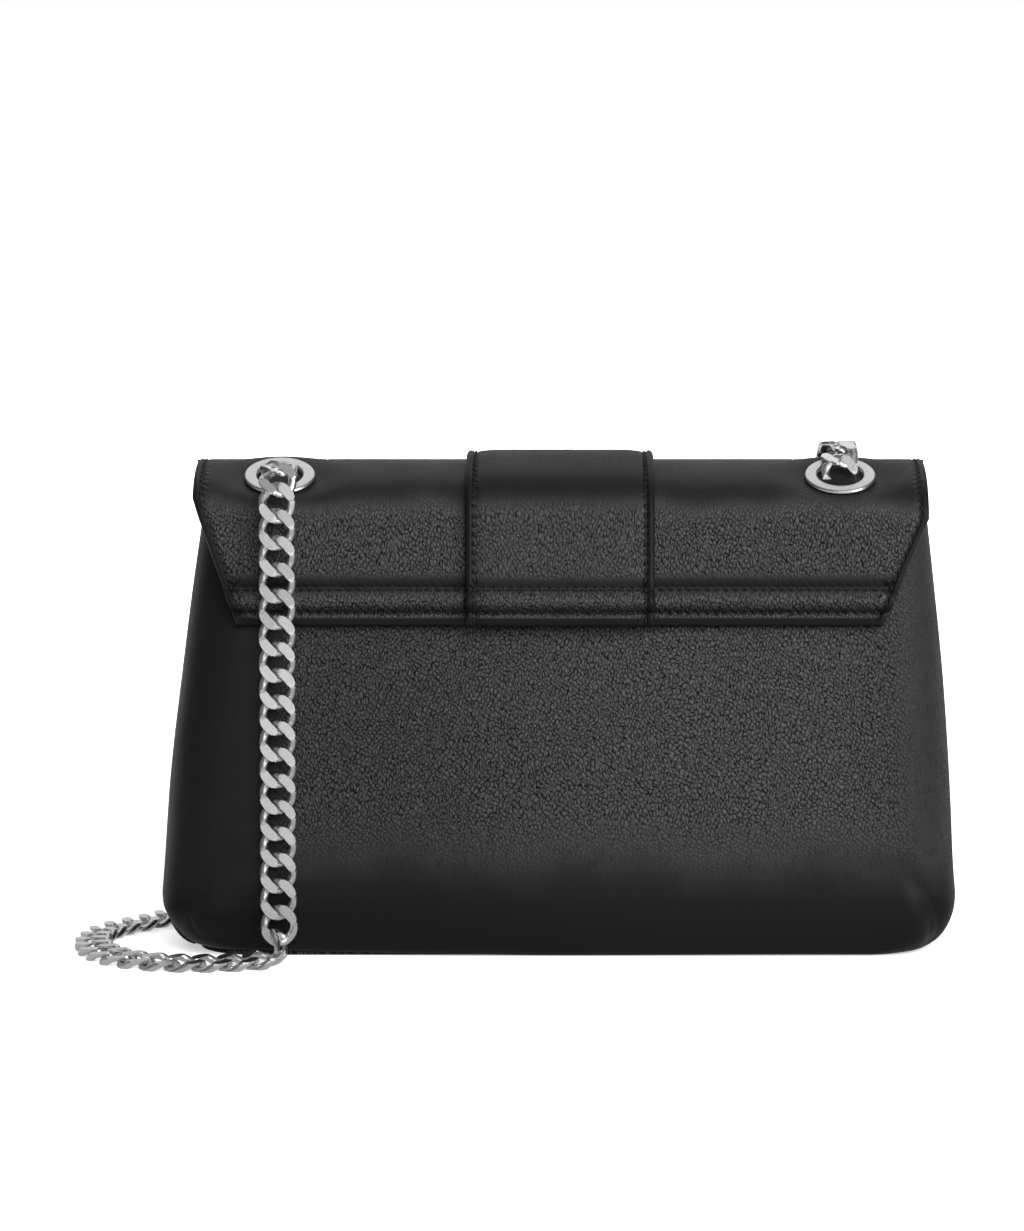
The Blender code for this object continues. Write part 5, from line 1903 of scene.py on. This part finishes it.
    def shoulder(self, side: Side) -> None:
        """Make the shoulder beside the flap and its lining.

        Args:
            side: Which shoulder.
        """
        down = np.concatenate([np.linspace(2.0, 2.9, 22)[1:], [2.93, 2.955, 2.975, 2.99, 3.0]])
        runs = np.concatenate([np.linspace(self.fold, 2.0, self.ridge_rows[1]), down])
        half = DOME.half_width_at(runs)[:, None]
        near = np.array(CLOSE_COLUMNS) / (DOME.half_width - DOME.slot)
        share = np.unique(np.concatenate([near, self.edge_columns(DOME.slot, DOME.half_width)]))
        x = DOME.slot + share[None, :] * (half - DOME.slot)
        if side is Side.LEFT:
            x = -x[:, ::-1]
        run = np.tile(runs[:, None], (1, x.shape[1]))
        arc = lengths_along(DOME.profile(runs, Front.SHOULDER, False))
        outer_side = np.maximum(half - np.abs(x), 0.0)
        inner_side = np.maximum(np.abs(x) - DOME.slot, 0.0)
        hem = np.tile((arc[-1] - arc)[:, None], (1, x.shape[1]))
        edge = np.minimum(outer_side, hem)
        relief = self.edging(outer_side, edge) - rounded_edge(edge, *self.rounding)
        relief -= self.groove_depth * ridge(hem - self.hem_inset, self.groove_width)
        relief -= rounded_edge(inner_side, self.cut_radius, self.cut_radius)
        outer, _ = DOME.point(x, run, relief, Front.SHOULDER)
        inner, _ = DOME.point(x, run, -self.skin, Front.SHOULDER)
        behind = lengths_along(DOME.profile(np.linspace(0.0, self.fold, 300), Front.SHOULDER, False))[-1]
        length = np.tile(arc[:, None] + behind, (1, x.shape[1]))
        # Painted shade: the ridge zone and the rounded edges are smoother and darker in colour.
        calm = np.maximum(DOME.calm_and_shade_at(outer[..., 2]), 1.0 - ramp(edge, *self.calm_and_shade_edge))
        seams = [(x, hem - self.hem_inset), (length, outer_side - self.stitch_inset)]
        made = thick_sheet(f"shoulder_leather_{side.name.lower()}", outer, inner, fields={
            "flow": self.flow(x, length), "calm": calm, "seam": nearest_seam(seams),
            "pucker": self.edge_puckers(outer_side)})
        paint(made, self.palette.leather)
        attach(made, "root")
        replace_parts(made, "yoke")

        trimmed = np.sign(x) * np.minimum(np.abs(x), half - self.shoulder_trim)
        sheets = self.line(trimmed, run, -(self.skin + self.lining_gap), Front.SHOULDER)
        made = thick_sheet(f"shoulder_lining_{side.name.lower()}", *sheets)
        paint(made, self.palette.suede)
        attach(made, "root")
        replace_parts(made, "yoke_lining")

    def band(self) -> None:
        """Make the centre band, from the rear hem over the ridge to the flap's hem."""
        runs = np.concatenate([self.rear_runs(), self.ridge_runs(), self.front_runs()])
        half = np.concatenate([[0.0], self.edge_columns(0.0, self.band_half)]) * self.band_half
        run, x = np.meshgrid(runs, np.concatenate([-half[:0:-1], half]), indexing="ij")
        arc = lengths_along(DOME.profile(runs, Front.FLAP, False))
        low_row, high_row = self.seam_lengths(runs, arc)
        side = self.band_half - np.abs(x)
        hem = np.minimum(arc, arc[-1] - arc)[:, None] + 0.0 * x
        length = arc[:, None] + 0.0 * x
        inside = np.where(side > self.band_stitch_inset, 1.0, 0.0)
        groove = self.groove_depth * ridge(side - self.band_stitch_inset, self.groove_width * 1.3)
        strip = self.band_strip_rise * ridge(side - self.band_strip[0], self.band_strip[1])
        puff = self.band_puff * ease((side - self.band_stitch_inset) / self.band_puff_width)
        sewn = sum(ridge(length - row, self.groove_width * 1.5) for row in (low_row, high_row))
        rows = self.groove_depth * 1.3 * sewn * inside
        crest = self.hem_crest_rise * ridge(hem - self.hem_crest, self.hem_crest_width)
        rounding = np.maximum(rounded_edge(side, self.band_rounding, self.band_rounding),
                              rounded_edge(hem, self.hem_crest, self.band_hem_rounding))
        shift, width = self.band_valley
        valley = self.valley_depth * ridge(length - high_row - shift, width) * inside
        lift = self.band_lift + self.band_thickness + strip + puff + crest
        outer, _ = DOME.point(x, run, lift - groove - rows - rounding - valley, Front.FLAP)
        inner, _ = DOME.point(x, run, self.band_lift, Front.FLAP)
        # Painted shade: the band's top, where it curves over the ridge, is darker.
        shade = self.top_shade * ramp(outer[..., 2], *self.top_shade_heights)
        # Painted shade: the whole band, the valley above its roll and its edges are smoother and darker in
        # colour.
        calm = np.maximum(DOME.calm_and_shade_at(outer[..., 2] - self.band_calm_and_shade_drop), self.band_calm_and_shade)
        calm = np.maximum(calm, ridge(length - high_row - self.valley[0], 0.0026) * 0.8)
        calm = np.maximum(calm, 1.0 - ramp(np.minimum(side, hem), *self.calm_and_shade_edge))
        pucker = inside * self.roll_puckers(length, low_row, high_row)
        seams = [(x, length - low_row), (x, length - high_row), (length, side - self.band_stitch_inset)]
        made = thick_sheet("centre_band_leather", outer, inner, fields={
            "flow": self.flow(x, length, self.band_grain_start, shade), "calm": np.clip(calm, 0.0, 1.0),
            "seam": nearest_seam(seams), "pucker": np.clip(pucker, 0.0, 1.0)})
        paint(made, self.palette.leather)
        bend_over_fold(made)
        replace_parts(made, "band_back", "band_front")

    def beside_band(self, half: float) -> list:
        """Rows across to the left and the right of the band.

        Args:
            half: Half the width that the rows reach.

        Returns:
            Places across of both rows.
        """
        start = self.band_half + self.band_gap
        return [spaced(-half, -start, self.stitch_step), spaced(start, half, self.stitch_step)]

    def sew(self) -> None:
        """Sew the rows of stitches on the yoke, the flap, the band and the shoulders."""
        rows = Stitching(self.palette, "cover_stitches")
        sunk = -self.groove_depth * 0.5
        top = self.band_lift + self.band_thickness
        band_reach = self.band_half - self.band_row_inset
        for height in (DOME.roll_low, DOME.roll_high):
            run = height / self.rise
            half = float(DOME.half_width_at(np.array(run))) - self.stitch_inset
            for x in self.beside_band(half):
                rows.add_row(*DOME.point(x, run, sunk, Front.FLAP))
            x = spaced(-band_reach, band_reach, self.stitch_step)
            rows.add_row(*DOME.point(x, run, top + self.band_puff + sunk, Front.FLAP))
        flap_end, hem_run, band_end = self.hem_rows
        rear = np.linspace(DOME.roll_low / self.rise, self.fold, 160)
        front = np.linspace(self.fold, flap_end, 180)
        for run, width in ((rear, DOME.half_width_at), (front, DOME.flap_half_width_at)):
            for side in Side:
                x = side.value * (width(run) - self.stitch_inset)
                rows.add_row(*DOME.point(x, run, sunk, Front.FLAP))
        for x in self.beside_band(DOME.flap_hem_half_width - self.stitch_inset):
            rows.add_row(*DOME.point(x, hem_run, sunk, Front.FLAP))
        whole = np.linspace(self.band_stitch_start, band_end, 340)
        for side in Side:
            x = np.full_like(whole, side.value * (self.band_half - self.band_stitch_inset))
            rows.add_row(*DOME.point(x, whole, top + sunk, Front.FLAP))
        bend_over_fold(rows.build())

        rows = Stitching(self.palette, "shoulder_stitches")
        hem_run, side_end, hem_width_run = self.shoulder_hem_rows
        front = np.linspace(self.fold, side_end, 90)
        end = float(DOME.half_width_at(np.array(hem_width_run))) - self.stitch_inset
        for side in Side:
            x = side.value * (DOME.half_width_at(front) - self.stitch_inset)
            rows.add_row(*DOME.point(x, front, sunk, Front.SHOULDER))
            x = side.value * spaced(DOME.slot + 0.001, end, self.stitch_step)
            rows.add_row(*DOME.point(x, hem_run, sunk, Front.SHOULDER))
        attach(rows.build(), "root")

    def build(self) -> None:
        """Make every piece of the cover."""
        self.leather()
        for side in Side:
            self.shoulder(side)
        self.band()
        self.sew()
        paint(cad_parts["roll_padding"], self.palette.suede)
        paint(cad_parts["flap_stiffener"], self.palette.board)


@dataclass
class Hardware:
    """Eyelets and magnetic snap."""

    palette: Palette
    outer: float = 0.0117
    hole: float = 0.0073
    barrel: float = 0.0087
    barrel_end: float = -0.0045
    gap: float = 0.0003
    rim: float = 0.0013
    rounding: float = 0.0007
    hole_bevel: tuple = (0.0005, 0.0007)
    edge_bevel: float = 0.0004
    edge_height: float = 0.0005
    edge_tuck: float = 0.0002
    columns: int = 112

    def eyelet(self, side: Side) -> None:
        """Make one eyelet.

        Args:
            side: Which eyelet.
        """
        top = self.gap + self.rim
        bevel, drop = self.hole_bevel
        corners = [(self.hole + bevel, top), (self.outer - self.edge_bevel, top),
                   (self.outer, self.gap + self.edge_height), (self.outer - self.edge_tuck, self.gap),
                   (self.barrel, self.gap), (self.barrel, self.barrel_end), (self.hole, self.barrel_end),
                   (self.hole, top - drop)]
        word = side.name.lower()
        profile = rounded_profile(corners, self.rounding, 6)
        made = lathe(f"eyelet_ring_{word}", profile, DOME.eyelet_place(side), self.columns)
        paint(made, self.palette.ring_metal)
        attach(made, "root")
        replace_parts(made, f"eyelet_{word}")
        paint(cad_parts[f"eyelet_washer_{word}"], self.palette.metal)

    def build(self) -> None:
        """Make every metal fitting."""
        for side in Side:
            self.eyelet(side)
        for node in ("snap_socket", "snap_socket_washer", "snap_stud", "snap_stud_washer"):
            paint(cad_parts[node], self.palette.metal)


@dataclass
class Chain:
    """Curb chain with ground flat sides, which hangs through both eyelets."""

    palette: Palette
    outside: tuple
    inside: tuple
    width: float = 0.0123
    thickness: float = 0.0033
    pitch: float = 0.0086
    wire: float = 0.0031
    end_wire: float = 0.0027
    wire_height: float = 0.0030
    twist: float = math.radians(42.0)
    swell: float = 0.9
    filed: float = 0.995
    stations: int = 34
    sides: int = 6
    route_steps: int = 24
    path_step: int = 6

    def smooth(self, route: tuple) -> tuple:
        """Read a smooth line through a route.

        Args:
            route: Place and flat direction of each point, six numbers in a row.

        Returns:
            Points and flat directions.
        """
        places, flats = np.hsplit(np.array(route), 2)
        padded = np.concatenate([places[:1], places, places[-1:]])
        points, directions = [], []
        for number in range(len(places) - 1):
            before, start, end, after = padded[number:number + 4]
            for share in np.linspace(0.0, 1.0, self.route_steps, endpoint=False):
                square, cube = share ** 2, share ** 3
                points.append(0.5 * (2.0 * start + (end - before) * share
                                     + (2.0 * before - 5.0 * start + 4.0 * end - after) * square
                                     + (3.0 * start - before - 3.0 * end + after) * cube))
                directions.append(mix(flats[number], flats[number + 1], share))
        points.append(places[-1])
        directions.append(flats[-1])
        return np.array(points), unit(np.array(directions))

    def joints(self, points: np.ndarray, flats: np.ndarray) -> tuple:
        """Evenly spaced joints along a line.

        Args:
            points: Points of the line.
            flats: Flat directions.

        Returns:
            Joints, and the flat direction halfway between each two.
        """
        along = lengths_along(points)
        count = max(int(round(along[-1] / self.pitch)), 1)
        wanted = np.linspace(0.0, along[-1], count + 1)
        middles = (wanted[1:] + wanted[:-1]) / 2
        places = np.stack([np.interp(wanted, along, points[:, axis]) for axis in range(3)], axis=-1)
        sides = np.stack([np.interp(middles, along, flats[:, axis]) for axis in range(3)], axis=-1)
        return places, unit(sides)

    def link(self, half_long: float) -> tuple:
        """Shape of one link: along, across and out of its flat side.

        Args:
            half_long: Half the length of its centre line.

        Returns:
            Points and faces.
        """
        angles = np.linspace(0.0, 2.0 * math.pi, self.stations, endpoint=False)
        along = half_long * np.cos(angles)
        side = (self.width - self.end_wire) / 2 * np.sin(angles)
        turn = self.twist * along / half_long
        line = np.stack([along, side * np.cos(turn), side * np.sin(turn)], axis=-1)
        tangent = np.roll(line, -1, axis=0) - np.roll(line, 1, axis=0)
        outward = unit(np.cross(tangent, np.array([0.0, 0.0, 1.0])))
        wide = mix(self.end_wire, self.wire, ease(np.abs(np.sin(2.0 * angles)) / self.swell)) / 2
        high, limit = self.wire_height / 2, self.thickness / 2
        top = np.arcsin(np.clip((limit - line[:, 2]) / high, -1.0, self.filed))
        bottom = np.arcsin(np.clip((-limit - line[:, 2]) / high, -self.filed, 1.0))
        theta = mix(top[:, None], bottom[:, None], np.linspace(0.0, 1.0, self.sides)[None, :])
        across = np.concatenate([np.cos(theta), -np.cos(theta[:, ::-1])], axis=1) * wide[:, None]
        points = line[:, None, :] + outward[:, None, :] * across[..., None]
        points[..., 2] += np.concatenate([np.sin(theta), np.sin(theta[:, ::-1])], axis=1) * high
        index = np.arange(points.shape[0] * points.shape[1]).reshape(points.shape[:2])
        after = np.roll(index, -1, axis=0)
        faces = np.stack([index, after, np.roll(after, -1, axis=1), np.roll(index, -1, axis=1)], axis=-1)
        return points.reshape(-1, 3), faces.reshape(-1, 4)

    def run(self, name: str, route: tuple, nodes: tuple) -> None:
        """Args:
            name: Name of the piece.
            route: Its route.
            nodes: CAD nodes that it stands for.
        """
        line, flats = self.smooth(route)
        places, sides = self.joints(line, flats)
        points, faces = [], []
        for number, (start, end) in enumerate(zip(places[:-1], places[1:])):
            gap = np.linalg.norm(end - start)
            forward = (end - start) / gap
            across = unit(np.cross(forward, sides[number]))
            axes = np.stack([forward, across, np.cross(across, forward)])
            shape, cells = self.link(gap / 2 + self.end_wire / 2)
            faces.append(cells + number * len(shape))
            points.append(shape @ axes + (start + end) / 2)
        made = add_mesh(name, np.concatenate(points), np.concatenate(faces).tolist(), sharp=28.0)
        paint(face_outwards(made), self.palette.metal)
        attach(made, "root")
        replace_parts(made, *nodes)
        length = float(lengths_along(line)[-1])
        LOG.info("%s is %.3f m long with %d links", name, length, len(places) - 1)

    def build(self) -> None:
        """Make the runs outside and inside the bag."""
        self.run("chain_strap", self.outside,
                 ("chain_drop", "chain_floor_loop", "chain_front_run", "chain_arch"))
        self.run("chain_inside", self.inside, ("chain_inner_run",))


CHAIN_OUTSIDE = (
    (-0.0915, -0.0166, 0.1526, 0.0, 1.0, 0.0),
    (-0.0915, -0.0182, 0.1572, 0.0, 0.8, 0.6),
    (-0.0915, -0.0232, 0.1599, 0.0, 0.2, 1.0),
    (-0.0915, -0.0296, 0.1592, 0.0, -0.4, 0.9),
    (-0.0915, -0.0354, 0.1542, 0.0, -0.8, 0.5),
    (-0.0915, -0.0377, 0.1465, 0.0, -1.0, 0.2),
    (-0.0915, -0.0384, 0.1360, 0.0, -1.0, 0.0),
    (-0.0915, -0.0390, 0.1240, 0.0, -1.0, 0.0),
    (-0.0915, -0.0400, 0.1120, 0.0, -1.0, 0.0),
    (-0.0915, -0.0407, 0.0980, 0.0, -1.0, 0.0),
    (-0.0915, -0.0416, 0.0780, 0.0, -1.0, 0.0),
    (-0.0915, -0.0427, 0.0580, 0.0, -1.0, 0.0),
    (-0.0915, -0.0440, 0.0380, 0.0, -1.0, 0.0),
    (-0.0915, -0.0448, 0.0220, 0.0, -1.0, 0.1),
    (-0.0914, -0.0454, 0.0110, 0.0, -1.0, 0.1),
    (-0.0908, -0.0464, 0.0068, 1.0, -0.2, 0.1),
    (-0.0905, -0.0490, 0.0050, 1.0, 0.0, 0.2),
    (-0.0918, -0.0515, 0.0037, 0.7, -0.1, 0.8),
    (-0.0955, -0.0533, 0.0026, 0.1, -0.12, 1.0),
    (-0.1040, -0.0560, 0.0020, 0.0, -0.12, 1.0),
    (-0.1150, -0.0578, 0.0020, 0.0, -0.12, 1.0),
    (-0.1285, -0.0566, 0.0020, -0.05, -0.12, 1.0),
    (-0.1405, -0.0502, 0.0020, -0.1, -0.1, 1.0),
    (-0.1492, -0.0395, 0.0020, -0.15, -0.05, 1.0),
    (-0.1538, -0.0250, 0.0020, -0.12, 0.0, 1.0),
    (-0.1540, -0.0105, 0.0020, -0.1, 0.0, 1.0),
    (-0.1502, 0.0035, 0.0019, 0.0, 0.0, 1.0),
    (-0.1435, 0.0125, 0.0019, 0.0, 0.0, 1.0),
    (-0.1340, 0.0250, 0.0019, 0.0, 0.0, 1.0),
    (-0.1200, 0.0450, 0.0019, 0.0, 0.0, 1.0),
    (-0.0980, 0.0600, 0.0019, 0.0, 0.0, 1.0),
    (-0.0760, 0.0645, 0.0019, 0.0, 0.0, 1.0),
    (-0.0400, 0.0655, 0.0019, 0.0, 0.0, 1.0),
    (0.0100, 0.0655, 0.0019, 0.0, 0.0, 1.0),
    (0.0500, 0.0650, 0.0019, 0.0, 0.0, 1.0),
    (0.0720, 0.0624, 0.0021, 0.0, 0.0, 1.0),
    (0.0850, 0.0570, 0.0030, 0.0, 0.1, 1.0),
    (0.0905, 0.0510, 0.0065, 0.1, 0.7, 0.7),
    (0.0930, 0.0478, 0.0130, 0.0, 1.0, 0.2),
    (0.0935, 0.0462, 0.0220, 0.0, 1.0, 0.1),
    (0.0935, 0.0448, 0.0380, 0.0, 1.0, 0.0),
    (0.0935, 0.0432, 0.0580, 0.0, 1.0, 0.0),
    (0.0932, 0.0417, 0.0780, 0.0, 1.0, 0.0),
    (0.0928, 0.0406, 0.0980, 0.0, 1.0, 0.0),
    (0.0924, 0.0398, 0.1160, 0.0, 1.0, 0.0),
    (0.0920, 0.0388, 0.1300, 0.0, 1.0, 0.0),
    (0.0917, 0.0374, 0.1425, 0.0, 1.0, 0.2),
    (0.0915, 0.0335, 0.1520, 0.0, 0.8, 0.5),
    (0.0915, 0.0265, 0.1584, 0.0, 0.5, 0.9),
    (0.0915, 0.0170, 0.1620, 0.0, 0.3, 1.0),
    (0.0915, 0.0060, 0.1639, 0.0, 0.1, 1.0),
    (0.0915, -0.0030, 0.1645, -0.05, 0.0, 1.0),
    (0.0915, -0.0092, 0.1642, -0.12, -0.3, 0.9),
    (0.0915, -0.0143, 0.1624, -0.10, -0.7, 0.7),
    (0.0915, -0.0168, 0.1598, -0.05, -0.9, 0.4),
    (0.0915, -0.0174, 0.1562, 0.0, -1.0, 0.0),
    (0.0915, -0.0168, 0.1526, 0.0, -1.0, -0.1),
)

CHAIN_INSIDE = tuple((*place, 0.0, 1.0, 0.0) for place in (
    (-0.0915, -0.0162, 0.1488), (-0.0915, -0.0163, 0.1455), (-0.0908, -0.0168, 0.1405),
    (-0.0880, -0.0178, 0.1360), (-0.0800, -0.0192, 0.1312), (-0.0640, -0.0204, 0.1266),
    (-0.0320, -0.0212, 0.1228), (0.0000, -0.0213, 0.1218), (0.0320, -0.0212, 0.1228),
    (0.0640, -0.0204, 0.1266), (0.0800, -0.0192, 0.1312), (0.0880, -0.0178, 0.1360),
    (0.0908, -0.0168, 0.1405), (0.0915, -0.0163, 0.1455), (0.0915, -0.0162, 0.1495),
))


@dataclass(frozen=True)
class Light:
    """One soft area light."""

    name: str
    place: tuple
    target: tuple
    size: tuple
    power: float
    mirrored: bool = True

    def build(self) -> None:
        """Add the light."""
        data = bpy.data.lights.new(self.name, "AREA")
        data.shape = "RECTANGLE"
        data.size, data.size_y = self.size
        data.energy = self.power
        lamp = bpy.data.objects.new(self.name, data)
        bpy.context.scene.collection.objects.link(lamp)
        lamp.location = self.place
        lamp.rotation_euler = (Vector(self.target) - Vector(self.place)).to_track_quat("-Z", "Y").to_euler()
        lamp.visible_glossy = self.mirrored


@dataclass
class Studio:
    """White sweep, soft lights and the photograph's camera."""

    distance: float = 1.815
    elevation: float = math.radians(8.0)
    aim_height: float = 0.080
    lens: float = 160.0
    shift_x: float = -48.0 / 1231.0
    shift_y: float = 84.5 / 1231.0
    clip_end: float = 50.0
    floor_size: float = 12.0
    floor_white: tuple = (0.90, 0.90, 0.90)
    floor_bounce: tuple = (0.16, 0.16, 0.16)
    floor_roughness: float = 0.9
    floor_glow: tuple = (0.25, 0.8, 0.50, 1.0)
    floor_mirrored: tuple = (0.12, 0.60, 0.32, 1.05)
    backdrop_size: tuple = (9.0, 3.0)
    backdrop_place: tuple = (0.0, 3.0, 1.5)
    backdrop_fade: tuple = (0.9, 1.7)
    backdrop_mirrored: float = 0.72
    room_light: float = 0.16
    lights: tuple = (
        Light("front_light", (0.95, -1.90, 1.35), (0.0, 0.0, 0.08), (2.9, 2.0), 86.0, False),
        Light("front_sheen", (0.95, -1.92, 1.36), (0.0, 0.0, 0.08), (2.9, 2.0), 20.0),
        Light("right_light", (1.00, -0.75, 0.45), (0.0, 0.0, 0.08), (0.5, 0.8), 5.0),
        Light("rear_fill", (-0.40, 2.10, 1.20), (0.0, 0.0, 0.08), (1.8, 1.2), 34.0, False),
        Light("back_light", (0.0, 1.5, 1.8), (0.0, 0.0, 0.10), (2.4, 1.4), 10.0),
        Light("top_light", (0.0, -0.3, 1.8), (0.0, 0.0, 0.0), (1.6, 1.0), 1.5),
    )

    def camera(self) -> None:
        """Place the camera at the photograph's angle."""
        data = bpy.data.cameras.new("camera")
        data.lens = self.lens
        data.shift_x = self.shift_x
        data.shift_y = self.shift_y
        data.clip_end = self.clip_end
        eye = bpy.data.objects.new("camera", data)
        bpy.context.scene.collection.objects.link(eye)
        target = Vector((0.0, 0.0, self.aim_height))
        aim = Vector((0.0, -math.cos(self.elevation), math.sin(self.elevation)))
        eye.location = target + aim * self.distance
        eye.rotation_euler = (target - eye.location).to_track_quat("-Z", "Y").to_euler()
        bpy.context.scene.camera = eye

    def glowing(self, name: str) -> tuple:
        """Make a material that glows white and has no reflection of its own.

        Args:
            name: Name of the material.

        Returns:
            The material, its graph and its shader node.
        """
        material, graph, shader = new_material(name)
        shader.inputs["Specular IOR Level"].default_value = 0.0
        shader.inputs["Emission Color"].default_value = (1.0, 1.0, 1.0, 1.0)
        return material, graph, shader

    def floor(self) -> None:
        """Make the white floor, which the metal sees darker near the bag."""
        bpy.ops.mesh.primitive_plane_add(size=self.floor_size, location=(0.0, 0.0, 0.0))
        floor = bpy.context.active_object
        floor.name = "floor"
        material, graph, shader = self.glowing("white_floor")
        shader.inputs["Roughness"].default_value = self.floor_roughness
        place = graph.add("ShaderNodeTexCoord").outputs["Object"]
        away = graph.add("ShaderNodeVectorMath", {"operation": "LENGTH"}, n0=place).outputs["Value"]
        rays = graph.add("ShaderNodeLightPath")
        seen, mirrored = rays.outputs["Is Camera Ray"], rays.outputs["Is Glossy Ray"]
        glow = graph.math("MULTIPLY", graph.remap(away, *self.floor_glow), seen)
        far = graph.math("MULTIPLY", graph.remap(away, *self.floor_mirrored), mirrored)
        graph.link(graph.colours(seen, self.floor_bounce, self.floor_white), shader.inputs["Base Color"])
        graph.link(graph.math("ADD", glow, far), shader.inputs["Emission Strength"])
        floor.data.materials.append(material)

    def backdrop(self) -> None:
        """Make the white card behind the bag, that the metal shows too."""
        bpy.ops.mesh.primitive_plane_add(size=1.0)
        card = bpy.context.active_object
        card.name = "backdrop"
        upright = Matrix.Translation(self.backdrop_place) @ Matrix.Rotation(math.pi / 2, 4, "X")
        card.data.transform(upright @ Matrix.Diagonal((*self.backdrop_size, 1.0, 1.0)))
        material, graph, shader = self.glowing("white_card")
        shader.inputs["Base Color"].default_value = (0.0, 0.0, 0.0, 1.0)
        place = graph.add("ShaderNodeSeparateXYZ", n0=graph.add("ShaderNodeTexCoord").outputs["Object"])
        rays = graph.add("ShaderNodeLightPath")
        low = graph.remap(place.outputs[2], *self.backdrop_fade, self.backdrop_mirrored, self.room_light)
        soft = graph.values(rays.outputs["Is Glossy Ray"], self.room_light, low)
        graph.link(graph.values(rays.outputs["Is Camera Ray"], soft, 1.0), shader.inputs["Emission Strength"])
        card.data.materials.append(material)

    def room(self) -> None:
        """Make the dim white room, which the camera sees as white."""
        world = bpy.data.worlds.new("white_room")
        bpy.context.scene.world = world
        world.use_nodes = True
        graph = Graph(world.node_tree)
        back = world.node_tree.nodes["Background"]
        seen = graph.add("ShaderNodeLightPath").outputs["Is Camera Ray"]
        back.inputs["Color"].default_value = (1.0, 1.0, 1.0, 1.0)
        graph.link(graph.values(seen, self.room_light, 1.0), back.inputs["Strength"])

    def build(self) -> None:
        """Set up the floor, the backdrop, the room, the lights and the plain view transform."""
        self.floor()
        self.backdrop()
        self.room()
        for light in self.lights:
            light.build()
        bpy.context.scene.view_settings.view_transform = "Standard"


def main() -> None:
    """Build and dress the bag in order."""
    logging.basicConfig(level=logging.INFO, format="%(name)s: %(message)s")
    studio = Studio()
    studio.camera()
    palette = Palette()
    Chain(palette, CHAIN_OUTSIDE, CHAIN_INSIDE).build()
    LOG.info("chain made")
    Body(palette).build()
    Inside(palette).build()
    LOG.info("body and lining made")
    Cover(palette).build()
    Hardware(palette).build()
    LOG.info("cover and metal made")
    studio.build()


if __name__ == "__main__":
    main()
